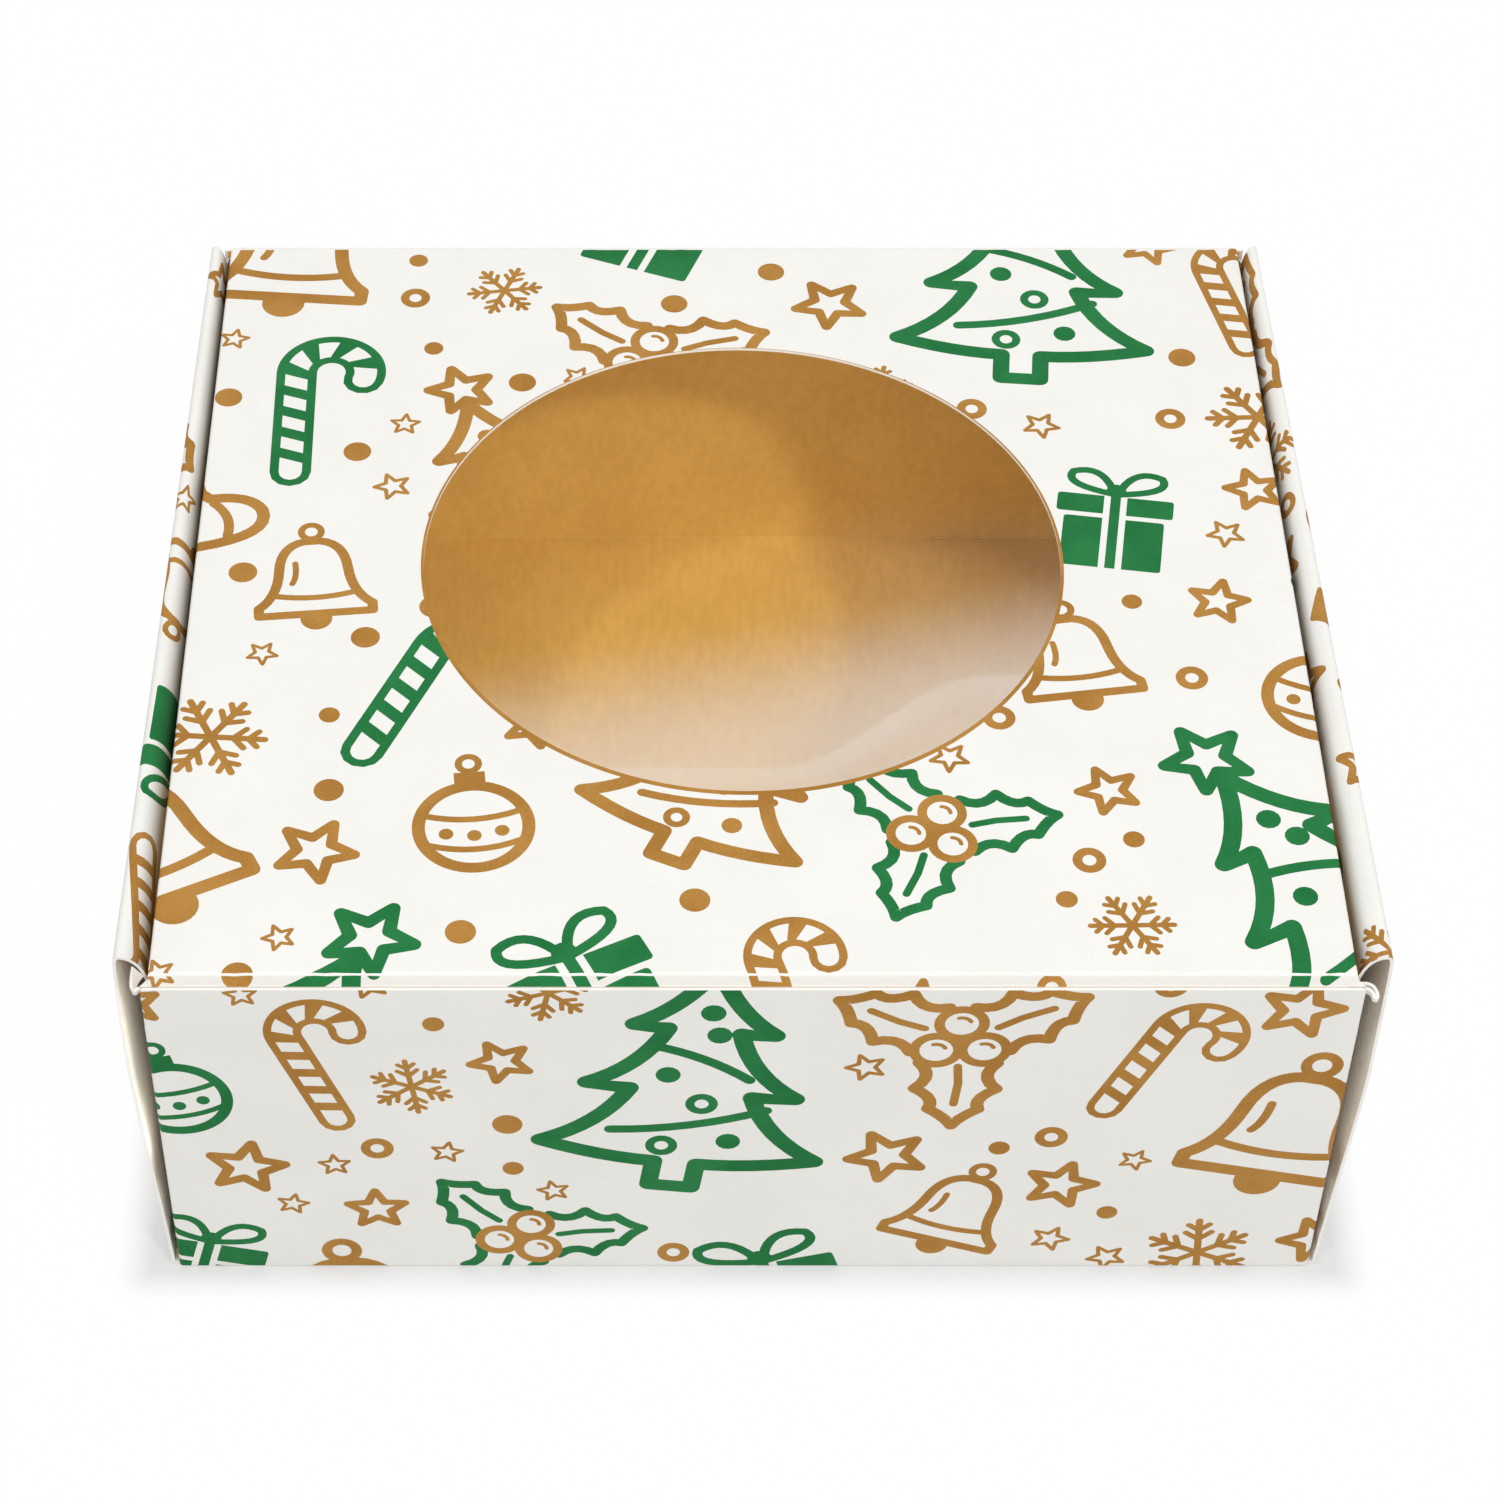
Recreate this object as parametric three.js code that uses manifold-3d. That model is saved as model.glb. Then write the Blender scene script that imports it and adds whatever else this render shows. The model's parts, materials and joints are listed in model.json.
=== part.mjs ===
// Folding cookie box: a roll-end paperboard tray with a hinged lid, a tuck flap and a round film window.
// Millimetres, +Z up, the front towards -Y, the origin under the middle of the box.
import * as THREE from 'three';
import { mergeVertices } from 'three/addons/utils/BufferGeometryUtils.js';
import Module from 'manifold-3d';

const wasm = await Module();
wasm.setup();

// Board and film
const board = 0.45;
const filmThickness = 0.15;

// Clearances
const foldGap = 0.1;
const layerGap = 0.1;
const dustGap = 0.15;
const tuckGap = 0.15;
const turnGap = 0.3;
const slotPlay = 0.15;

// Box
const lidWidth = 159.8;
const boxDepth = 152;
const lidHeight = 63.7;

// Rolled side walls
const hollowFoot = 0.65;
const wallSpread = 2.9;
const rollRise = 2.2;
const rollShoulder = 1.6;
const crestInset = 1.4;
const rollBulge = 0.9;
const rollCrown = 0.4;
const rollEndDrop = 0.9;
const wallFootInset = 0.6;
const wallTopInset = 2.6;
const innerWallInset = 4.4;
const rollSteps = 6;

// Lock tabs under the inner side walls
const tabLength = 24;
const tabSpacing = 76;

// Dust flaps
const dustLength = 45;
const dustDrop = 8;
const dustTaper = 9;

// Lid, its window and its side wings
const frontLip = 1.5;
const stripRun = 0.95;
const windowDiameter = 93;
const windowToHinge = 71;
const windowSegments = 96;
const filmMargin = 5;
const wingDepth = 18;
const wingFrontInset = 36;
const wingBackInset = 6;
const wingTaper = 10;

// Tuck flap and its lock ears
const flapLength = 28;
const flapLean = THREE.MathUtils.degToRad(7);
const flapSideInset = 1.1;
const flapCorner = 9;
const earReach = 12;
const earTopDrop = 3.5;
const earFootDrop = 2;
const earSideInset = 0.25;
const earSegments = 20;

// Corner folds, where the flap turns into its ears past the front wall
const cornerHeight = 1.4;
const cornerSpread = 0.3;
const cornerPoke = 1.7;
const cornerWidth = 0.3;
const cornerBack = 0.7;
const cornerSteps = 6;

// Stack of layers, from the middle of the box outwards
const lidHalf = lidWidth / 2;
const innerWallIn = lidHalf + layerGap;
const innerWallOut = innerWallIn + board;
const dustIn = innerWallOut + dustGap;
const endWallHalf = dustIn + board;
const outerWallFoot = endWallHalf + hollowFoot + board;
const outerWallTop = outerWallFoot + wallSpread;
const bottomHalf = outerWallFoot - board - foldGap;

// Levels
const lidUnder = lidHeight - board;
const frontWallTop = lidHeight - frontLip;
const backWallTop = lidUnder - foldGap;
const crestLevel = lidHeight + rollRise;
const outerWallLevel = crestLevel - rollShoulder;
const rollEndLevel = lidHeight - rollEndDrop;
const floorLevel = board + foldGap;

// Depths
const frontFace = -boxDepth / 2;
const backFace = boxDepth / 2;
const frontWallBack = frontFace + board;
const backWallFront = backFace - board;
const stripFoot = frontWallBack + tuckGap;
const lidCrease = stripFoot + stripRun;
const windowCentre = backFace - windowToHinge;
const tabPlaces = [-tabSpacing / 2, tabSpacing / 2];

const paper = new THREE.MeshStandardMaterial({ color: 0xf4f2ec, roughness: 0.5, metalness: 0 });
const clearFilm = new THREE.MeshStandardMaterial({
  color: 0xf7f9fa, roughness: 0.05, metalness: 0, transparent: true, opacity: 0.25,
});

const cookieBox = new THREE.Group();

function outline(corners) {
  return new THREE.Shape(corners.map(([across, up]) => new THREE.Vector2(across, up)));
}

function rectangle(left, low, right, high) {
  return outline([[left, low], [right, low], [right, high], [left, high]]);
}

// A flat sheet: the outline in x and y, the thickness upwards from z = 0.
function flatSheet(shape, thickness, curveSegments = 12) {
  return new THREE.ExtrudeGeometry(shape, { depth: thickness, bevelEnabled: false, curveSegments });
}

// An upright sheet across the box: the outline in x and z, the thickness backwards from y = 0.
function acrossSheet(shape, thickness) {
  const sheet = flatSheet(shape, thickness).translate(0, 0, -thickness);
  const right = new THREE.Vector3(1, 0, 0);
  const up = new THREE.Vector3(0, 0, 1);
  const forward = new THREE.Vector3(0, -1, 0);
  return sheet.applyMatrix4(new THREE.Matrix4().makeBasis(right, up, forward));
}

// An upright sheet along a side: the outline in y and z, the thickness along +x from x = 0.
function alongSheet(shape, thickness, curveSegments) {
  const sheet = flatSheet(shape, thickness, curveSegments);
  const back = new THREE.Vector3(0, 1, 0);
  const up = new THREE.Vector3(0, 0, 1);
  const right = new THREE.Vector3(1, 0, 0);
  return sheet.applyMatrix4(new THREE.Matrix4().makeBasis(back, up, right));
}

// The section of a bent sheet: a line of points and the same line moved aside by the thickness.
function bentSection(points, thickness) {
  const moved = points.map((point, index) => {
    const before = points[Math.max(index - 1, 0)];
    const after = points[Math.min(index + 1, points.length - 1)];
    const into = point.clone().sub(before).normalize();
    const away = after.clone().sub(point).normalize();
    const along = into.add(away).normalize();
    const bend = along.dot(index > 0 ? point.clone().sub(before).normalize() : away);
    const side = new THREE.Vector2(-along.y, along.x);
    return point.clone().addScaledVector(side, thickness / Math.max(bend, 0.5));
  });
  return new THREE.Shape([...points, ...moved.reverse()]);
}

// A closed geometry as a solid that can be cut.
function toSolid(geometry) {
  const bare = geometry.clone();
  bare.deleteAttribute('normal');
  bare.deleteAttribute('uv');
  const merged = mergeVertices(bare);
  return new wasm.Manifold(new wasm.Mesh({
    numProp: 3,
    vertProperties: new Float32Array(merged.attributes.position.array),
    triVerts: new Uint32Array(merged.index.array),
  }));
}

function cutAway(geometry, cutters) {
  const left = cutters.reduce((rest, cutter) => rest.subtract(toSolid(cutter)), toSolid(geometry));
  const mesh = left.getMesh();
  const result = new THREE.BufferGeometry();
  result.setAttribute('position', new THREE.BufferAttribute(mesh.vertProperties, mesh.numProp));
  result.setIndex(new THREE.BufferAttribute(mesh.triVerts, 1));
  result.computeVertexNormals();
  return result;
}

function add(parent, name, geometry, material, x = 0, y = 0, z = 0) {
  const mesh = new THREE.Mesh(geometry, material);
  mesh.name = name;
  mesh.position.set(x, y, z);
  parent.add(mesh);
  return mesh;
}

// The two sides, with the sign of x on each.
const sides = [['left', -1], ['right', 1]];

// Where a sheet that spans low..low + thickness on the right starts on either side.
function sideStart(low, thickness, sign) {
  return sign > 0 ? low : -low - thickness;
}

// The bottom panel, with a slot for each lock tab.
function bottomPanel() {
  const shape = rectangle(-bottomHalf, frontWallBack + foldGap, bottomHalf, backWallFront - foldGap);
  const slotWidth = board + 2 * slotPlay;
  const slotLength = tabLength + 2 * slotPlay;
  const slots = sides.flatMap(([, sign]) => tabPlaces.map((place) => {
    const slot = new THREE.BoxGeometry(slotWidth, slotLength, 4 * board);
    return slot.translate(sign * (innerWallIn + innerWallOut) / 2, place, board / 2);
  }));
  add(cookieBox, 'bottom_panel', cutAway(flatSheet(shape, board), slots), paper);
}

function endWalls() {
  const front = rectangle(-endWallHalf, 0, endWallHalf, frontWallTop);
  add(cookieBox, 'front_wall', acrossSheet(front, board), paper, 0, frontFace);
  const back = rectangle(-endWallHalf, 0, endWallHalf, backWallTop);
  add(cookieBox, 'back_wall', acrossSheet(back, board), paper, 0, backWallFront);
}

function dustFlaps() {
  const ends = [['front', -1, frontWallBack + foldGap], ['back', 1, backWallFront - foldGap]];
  const top = frontWallTop - dustDrop;
  for (const [end, way, root] of ends) {
    const tip = root - way * dustLength;
    const shape = outline([
      [root, floorLevel],
      [tip, floorLevel + dustTaper],
      [tip, top - dustTaper],
      [root, top],
    ]);
    for (const [side, sign] of sides) {
      const start = sideStart(dustIn, board, sign);
      add(cookieBox, `${end}_${side}_dust_flap`, alongSheet(shape, board), paper, start);
    }
  }
}

function outerWalls() {
  const lean = Math.atan2(wallSpread, outerWallLevel);
  const length = outerWallLevel / Math.cos(lean);
  const shape = outline([
    [frontFace + wallFootInset, 0],
    [backFace - wallFootInset, 0],
    [backFace - wallTopInset, length],
    [frontFace + wallTopInset, length],
  ]);
  for (const [side, sign] of sides) {
    const sheet = alongSheet(shape, board).translate(sideStart(-board, board, sign), 0, 0);
    const wall = add(cookieBox, `${side}_outer_wall`, sheet, paper, sign * outerWallFoot);
    wall.rotation.y = sign * lean;
  }
}

// The rounded roof over each hollow side wall, from the top of the outer wall down to the inner wall.
function rollTops() {
  const crest = outerWallTop - crestInset;
  const length = boxDepth - 2 * wallTopInset;
  for (const [side, sign] of sides) {
    const roof = new THREE.Path();
    roof.moveTo(sign * outerWallTop, outerWallLevel + foldGap);
    roof.quadraticCurveTo(sign * outerWallTop, crestLevel, sign * crest, crestLevel);
    roof.quadraticCurveTo(
      sign * (innerWallIn + rollBulge), crestLevel - rollCrown,
      sign * innerWallIn, rollEndLevel,
    );
    const section = bentSection(roof.getPoints(rollSteps), sign * board);
    add(cookieBox, `${side}_roll_top`, acrossSheet(section, length), paper, 0, frontFace + wallTopInset);
  }
}

// The inner side walls, with tabs that lock into the slots of the bottom panel.
function innerWalls() {
  const top = rollEndLevel - turnGap;
  const front = frontFace + innerWallInset;
  const back = backFace - wallTopInset;
  const tabHalf = tabLength / 2;
  const foot = tabPlaces.flatMap((place) => [
    [place - tabHalf, floorLevel],
    [place - tabHalf, foldGap],
    [place + tabHalf, foldGap],
    [place + tabHalf, floorLevel],
  ]);
  const shape = outline([[front, floorLevel], ...foot, [back, floorLevel], [back, top], [front, top]]);
  for (const [side, sign] of sides) {
    add(cookieBox, `${side}_inner_wall`, alongSheet(shape, board), paper, sideStart(innerWallIn, board, sign));
  }
}

function lidPanel() {
  const shape = rectangle(-lidHalf, lidCrease + foldGap, lidHalf, backFace - foldGap);
  const opening = new THREE.Path();
  opening.absarc(0, windowCentre, windowDiameter / 2, 0, 2 * Math.PI, true);
  shape.holes.push(opening);
  add(cookieBox, 'lid_panel', flatSheet(shape, board, windowSegments), paper, 0, 0, lidUnder);
}

function windowFilm() {
  const half = windowDiameter / 2 + filmMargin;
  const shape = rectangle(-half, windowCentre - half, half, windowCentre + half);
  add(cookieBox, 'window_film', flatSheet(shape, filmThickness), clearFilm, 0, 0, lidUnder - filmThickness);
}

// The narrow sloping strip between the two creases at the front of the lid.
function lidFrontStrip() {
  const slope = new THREE.Vector2(stripRun, frontLip).normalize();
  const footBack = stripFoot + board * slope.y;
  const footLow = frontWallTop - board * slope.x;
  const climb = (lidCrease - footBack) / slope.x;
  const section = outline([
    [lidCrease, lidHeight],
    [stripFoot, frontWallTop],
    [footBack, footLow],
    [lidCrease, footLow + climb * slope.y],
  ]);
  const strip = alongSheet(section, lidWidth);
  add(cookieBox, 'lid_front_strip', strip, paper, -lidHalf, 0, 0);
}

function lidWings() {
  const front = lidCrease + wingFrontInset;
  const back = backFace - wingBackInset;
  const shape = outline([
    [front, 0],
    [front + wingTaper, -wingDepth],
    [back - wingTaper, -wingDepth],
    [back, 0],
  ]);
  for (const [side, sign] of sides) {
    const start = sideStart(lidHalf - board, board, sign);
    add(cookieBox, `${side}_lid_wing`, alongSheet(shape, board), paper, start, 0, lidUnder - foldGap);
  }
}

// The tuck flap leans into the box, so it and what it carries share one turned group at its crease.
const flapCrease = new THREE.Group();
flapCrease.position.set(0, stripFoot + board / 2, frontWallTop - board / 2);
flapCrease.rotation.x = flapLean;
cookieBox.add(flapCrease);
const flapHalf = lidHalf - flapSideInset;
const flapFoot = -turnGap - flapLength;

function tuckFlap() {
  const shape = new THREE.Shape();
  shape.moveTo(flapHalf, -turnGap);
  shape.lineTo(-flapHalf, -turnGap);
  shape.lineTo(-flapHalf, flapFoot + flapCorner);
  shape.absarc(-flapHalf + flapCorner, flapFoot + flapCorner, flapCorner, Math.PI, 1.5 * Math.PI);
  shape.lineTo(flapHalf - flapCorner, flapFoot);
  shape.absarc(flapHalf - flapCorner, flapFoot + flapCorner, flapCorner, -0.5 * Math.PI, 0);
  add(flapCrease, 'lid_tuck_flap', acrossSheet(shape, board), paper, 0, -board / 2);
}

// Each lock ear is a rounded tab, bent back along the side wall.
function lockEars() {
  const high = -turnGap - earTopDrop;
  const low = flapFoot + earFootDrop + flapCorner / 2;
  const shape = new THREE.Shape();
  shape.absellipse(0, (high + low) / 2, earReach, (high - low) / 2, -Math.PI / 2, Math.PI / 2);
  const root = board / 2 + turnGap;
  for (const [side, sign] of sides) {
    const start = sideStart(lidHalf - earSideInset - board, board, sign);
    add(flapCrease, `${side}_lock_ear`, alongSheet(shape, board, earSegments), paper, start, root);
  }
}

// Each corner fold runs out behind the end of the front wall, turns round its edge and comes back inside.
function cornerFolds() {
  const bend = endWallHalf + turnGap + board;
  const nearSide = bend + cornerSpread;
  const farSide = nearSide + cornerWidth;
  for (const [side, sign] of sides) {
    const path = new THREE.Path();
    path.moveTo(sign * (flapHalf + foldGap), board / 2);
    path.lineTo(sign * bend, board / 2);
    path.lineTo(sign * nearSide, -cornerPoke + cornerWidth);
    path.quadraticCurveTo(
      sign * (nearSide + cornerWidth / 2), -cornerPoke - cornerWidth,
      sign * farSide, -cornerPoke + cornerWidth,
    );
    path.quadraticCurveTo(sign * farSide, cornerBack, sign * (lidHalf + foldGap), cornerBack);
    const section = bentSection(path.getPoints(cornerSteps), -sign * board);
    const sheet = flatSheet(section, cornerHeight);
    add(flapCrease, `${side}_corner_fold`, sheet, paper, 0, 0, -turnGap - cornerHeight);
  }
}

bottomPanel();
endWalls();
dustFlaps();
outerWalls();
rollTops();
innerWalls();
lidPanel();
lidFrontStrip();
windowFilm();
lidWings();
tuckFlap();
lockEars();
cornerFolds();

export default cookieBox;
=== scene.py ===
# Window cookie box in printed carton board: a tray with hollow rolled sides, a hinged lid
# and a round film window.
import functools
import json
import math
import random

import bpy
import numpy as np
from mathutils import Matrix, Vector
from mathutils.geometry import delaunay_2d_cdt


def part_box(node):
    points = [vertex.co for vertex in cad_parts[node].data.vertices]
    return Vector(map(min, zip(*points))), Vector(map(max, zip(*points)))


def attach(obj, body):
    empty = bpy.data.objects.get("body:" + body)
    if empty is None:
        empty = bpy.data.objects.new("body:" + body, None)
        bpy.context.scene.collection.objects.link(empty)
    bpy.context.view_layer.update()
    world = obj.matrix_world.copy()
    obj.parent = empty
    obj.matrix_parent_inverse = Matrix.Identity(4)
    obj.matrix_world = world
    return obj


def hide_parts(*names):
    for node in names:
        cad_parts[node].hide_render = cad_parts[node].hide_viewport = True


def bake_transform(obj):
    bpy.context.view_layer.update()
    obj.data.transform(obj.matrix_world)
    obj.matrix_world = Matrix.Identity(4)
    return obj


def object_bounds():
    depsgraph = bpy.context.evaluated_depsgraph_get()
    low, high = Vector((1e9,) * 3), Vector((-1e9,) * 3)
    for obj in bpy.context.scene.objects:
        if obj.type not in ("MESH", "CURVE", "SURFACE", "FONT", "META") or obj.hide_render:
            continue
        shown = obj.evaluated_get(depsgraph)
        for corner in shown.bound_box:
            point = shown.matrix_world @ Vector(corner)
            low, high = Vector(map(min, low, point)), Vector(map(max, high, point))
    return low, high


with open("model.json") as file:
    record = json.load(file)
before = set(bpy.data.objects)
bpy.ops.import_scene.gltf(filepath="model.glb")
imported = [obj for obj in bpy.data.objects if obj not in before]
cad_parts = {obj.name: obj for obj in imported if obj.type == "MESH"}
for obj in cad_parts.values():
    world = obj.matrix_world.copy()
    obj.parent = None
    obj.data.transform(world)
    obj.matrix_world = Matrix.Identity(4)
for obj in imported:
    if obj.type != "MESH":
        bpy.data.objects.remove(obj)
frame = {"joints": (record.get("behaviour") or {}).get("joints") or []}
cad_low, cad_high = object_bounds()

MM = 0.001
TRAY = "tray"
LID = "lid"
FLAP = "tuck_flap"
SIDES = (("left", -1), ("right", 1))


def span(node):
    """Lowest and highest corner of a packed panel, in millimetres."""
    low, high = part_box(node)
    return np.array(low) / MM, np.array(high) / MM


front_low, front_high = span("front_wall")
back_low, back_high = span("back_wall")
bottom_low, bottom_high = span("bottom_panel")
dust_low, dust_high = span("front_right_dust_flap")
outer_low, outer_high = span("right_outer_wall")
roll_low, roll_high = span("right_roll_top")
inner_low, inner_high = span("right_inner_wall")
lid_low, lid_high = span("lid_panel")
strip_low, strip_high = span("lid_front_strip")
film_low, film_high = span("window_film")
wing_low, wing_high = span("right_lid_wing")
joints = {joint["name"]: joint for joint in frame["joints"]}

# Board and folds
board = front_high[1] - front_low[1]
lid_edge_radius = 0.45
hard_edge_angle = math.radians(35)
bead_radius = 0.17
bead_sides = 12
arc_steps = 8
corner_steps = 6
crease_overrun = 1.0

# Steps of the grid that a board is cut into
grid_step = 8.0
strip_grid_step = 12.0
ear_grid_step = 4.0
corner_grid_step = 1.0

# Outlines: the least sides of a circle, the length of a side, and how close points are one
least_sides = 14
side_length = 0.55
line_end_steps = 6
same_point = 1e-6
same_cut_point = 1e-5

# Lock tabs and slots
tab_length = 24.0
tab_places = (-38.0, 38.0)
slot_play = 0.15

# End walls and dust flaps
wall_corner = 0.4
dust_root = 0.3
dust_corner = 4.0
dust_taper = 9.0

# Rolled sides, in front and at the back, where the hollow closes
wall_foot = 82.15
wall_top_front = 84.55
wall_top_back = 82.75
wall_bow_front = 0.85
wall_bow_back = 0.15
bow_rise = 1.5
crest_front = 83.5
crest_back = 81.7
crest_sink_back = 0.5
roof_bulge = 0.6
roof_crown = 0.4
roof_end = 60.8
roof_straight = 1.0
roof_front_step = 1.2
roof_back = 74.4
roof_back_cut = 1.5
roof_back_low = 2.2
roof_back_step = 0.8
inner_wall_play = 0.5
# Painted shade on the roof's printed face where it dips into the crevice beside the lid: where it starts on
# the slope (darker on the left), where it is full, and how far below the roof it fades
fold_shade_start = {"left": 0.02, "right": 0.22}
fold_shade_end = 0.74
fold_shade_fade = 4.0
fade_steps = 4
wall_steps = 10
roof_steps = 7

# Lid, window and wings
window_diameter = 93.0
window_centre = 5.0
window_steps = 180
crack_width = 0.5
crack_narrow = 0.45
crack_step = 1.3
hinge_crack = 0.1
keyline_width = 0.42
keyline_shift = 0.32
lid_sag = 0.25
strip_flare = 1.1
strip_ease = 0.6
strip_steps = 6
film_sag = 0.1
film_ripple = 0.03
film_drop = 1.6 * film_ripple
film_grip = 3.0
film_rows = 56
film_waves = ((0.085, 0.05, 0.6, 1.0), (0.05, -0.13, 2.0, 0.6))
wing_taper = 10.0
wing_corner = 2.5
wing_notch = 0.6
wing_crease_steps = 4
hinge_steps = 10

# Tuck flap, lock ears and corner folds
flap_lean = math.radians(7)
flap_turn = 0.3
flap_length = 28.0
flap_half = 78.8
flap_corner = 9.0
flap_face = -board / 2
flap_crease_bulge = 0.07
flap_fold_width = 1.8
ear_reach = 12.0
ear_high = -3.8
ear_low = -21.8
ear_root = 0.525
ear_face = 79.65
ear_steps = 40
corner_height = 1.2
corner_tip_height = 0.75
corner_play = 0.1
leg_low = 0.6
leg_high = 2.6
leg_lean = 0.62

# Sections of the corner folds, across the box and inwards from the flap's crease: each curve by its middle
# and end, or by its start, middle and end, and each round tip by its centre, radius, angles and steps
fold_root = (80.6, flap_face)
fold_steps = 5
open_out = ((81.1, flap_face), (81.27, -0.33))
open_tip = (81.75, -0.2, 0.5, 195, 350, 9)
open_leg = ((82.24, -0.29), (82.3, 0.5), (81.95, 1.7))
shut_out = ((81.5, flap_face), (81.75, -1.0))
shut_tip = (82.2, -1.35, 0.45, 180, 350, 10)
shut_leg = ((82.64, -1.43), (82.8, -0.8), (82.4, 0.1))
shut_return = ((82.4, 0.1), (82.0, 0.9), (81.0, 0.95))
return_steps = 6

# Places of the panels on the flat printed blank: the lid keeps its own y, and the walls go on from it
fold_radius = bottom_low[1] - front_low[1]
quarter_turn = fold_radius * math.pi / 2
lid_end = back_high[1] - fold_radius
back_blank = lid_end + quarter_turn
bottom_blank = back_blank + back_high[2] - fold_radius + quarter_turn
bottom_middle = bottom_blank + bottom_high[1]
front_blank = bottom_middle + bottom_high[1]
roll_blank = bottom_high[0]
flap_blank = strip_low[1] - flap_fold_width
lid_turned_edge = lid_high[0] - lid_edge_radius + lid_edge_radius * math.pi / 2
print_seed = 54

# Places of the finishes on a board: paper, the two inks, its back, its cut edge and its back in the hollows
PAPER, GOLD, GREEN, BACK, EDGE, HOLLOW = range(6)
WHITE = (1, 1, 1, 1)


# Paths and outlines

class Course:
    """A path through points, such as a board takes through its folds, read by the length along it."""

    def __init__(self, points):
        self.points = np.array(points, float)
        steps = np.linalg.norm(np.diff(self.points, axis=0), axis=1)
        self.run = np.concatenate([[0.0], np.cumsum(steps)])

    def at(self, length):
        return [np.interp(length, self.run, column) for column in self.points.T]


def headings(path):
    """The heading of a path at each of its points, and the way to the left of it."""
    step = np.gradient(path, axis=0)
    step /= np.linalg.norm(step, axis=1)[:, None]
    return step, np.stack([-step[:, 1], step[:, 0]], axis=1)


def block(left, low, right, high):
    """The corners of a rectangle."""
    return [(left, low), (right, low), (right, high), (left, high)]


def circle(x, y, radius, steps=0):
    """A closed round outline, with as many points as its size needs if no number is given."""
    count = steps or max(least_sides, int(2 * math.pi * radius / side_length))
    turn = 2 * math.pi / count
    return [(x + radius * math.cos(k * turn), y + radius * math.sin(k * turn)) for k in range(count)]


def arc(x, y, radius, start, end, steps):
    """Points round a centre, from one angle to another in degrees."""
    angles = [math.radians(start + (end - start) * k / steps) for k in range(steps + 1)]
    return [(x + radius * math.cos(a), y + radius * math.sin(a)) for a in angles]


def bow(start, middle, end, steps=8):
    """A curve from start to end that heads for the middle point."""
    made = []
    for k in range(steps + 1):
        t = k / steps
        a, b, c = (1 - t) ** 2, 2 * t * (1 - t), t * t
        made.append((a * start[0] + b * middle[0] + c * end[0], a * start[1] + b * middle[1] + c * end[1]))
    return made


def rounded(corners, radii):
    """An outline with its corners rounded, each by its own radius."""
    made = []
    for k, (corner, size) in enumerate(zip(corners, radii)):
        here = np.array(corner, float)
        before = np.array(corners[k - 1], float) - here
        after = np.array(corners[(k + 1) % len(corners)], float) - here
        if size == 0:
            made.append(tuple(here))
            continue
        start = here + before / np.linalg.norm(before) * size
        end = here + after / np.linalg.norm(after) * size
        made += bow(tuple(start), tuple(here), tuple(end), corner_steps)
    return made


def mirrored(points):
    """The same points on the other side of the middle, in the order that closes an outline."""
    return [(-x, y) for x, y in reversed(points)]


def area(loop):
    """The area in an outline, negative where it goes round clockwise."""
    x, y = np.array(loop).T
    return 0.5 * float(np.sum(x * np.roll(y, -1) - np.roll(x, -1) * y))


def grown(loop, amount):
    """A closed outline moved outwards, or inwards by a negative amount, round at its opening corners."""
    round_from, round_step, least = 0.35, 0.4, 0.45
    points = [p for p, q in zip(loop, loop[1:] + loop[:1]) if math.dist(p, q) > same_point]
    points = points if area(points) > 0 else points[::-1]
    made = []
    for k, (x, y) in enumerate(points):
        before, after = points[k - 1], points[(k + 1) % len(points)]
        start = math.atan2(y - before[1], x - before[0]) - math.pi / 2
        turn = math.atan2(after[1] - y, after[0] - x) - math.pi / 2 - start
        turn = (turn + math.pi) % (2 * math.pi) - math.pi
        if turn * amount > round_from * abs(amount):
            count = int(abs(turn) / round_step) + 1
            headings = [start + turn * n / count for n in range(count + 1)]
            made += [(x + amount * math.cos(h), y + amount * math.sin(h)) for h in headings]
        else:
            reach = amount / max(math.cos(turn / 2), least)
            heading = start + turn / 2
            made.append((x + reach * math.cos(heading), y + reach * math.sin(heading)))
    return made


# Drawing of the print

def line(points, width):
    """The outline of an open line of ink with round ends."""
    path = np.array(points, float)
    step, side = headings(path)
    side = side * width / 2
    left, right = path + side, path - side
    ends = []
    for place, way in ((path[-1], step[-1]), (path[0], -step[0])):
        heading = math.degrees(math.atan2(way[1], way[0]))
        ends.append(arc(*place, width / 2, heading - 90, heading + 90, line_end_steps)[1:-1])
    return [tuple(p) for p in right] + ends[0] + [tuple(p) for p in left[::-1]] + ends[1]


def strokes(width, ink, *paths):
    """Open lines of ink, one along each path."""
    return [(line(path, width), ink) for path in paths]


def discs(radius, ink, *places):
    """Round spots of ink, or bare ones."""
    return [(circle(x, y, radius), ink) for x, y in places]


def outlined(loop, width, ink):
    """A closed outline in ink with bare paper inside it."""
    return [(grown(loop, width / 2), ink), (grown(loop, -width / 2), PAPER)]


def star_loop(x, y, radius, waist=0.46, points=5, turn=90):
    """The outline of a star."""
    made = []
    for k in range(2 * points):
        reach = radius * (waist if k % 2 else 1)
        angle = math.radians(turn + 180 * k / points)
        made.append((x + reach * math.cos(angle), y + reach * math.sin(angle)))
    return made


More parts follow.
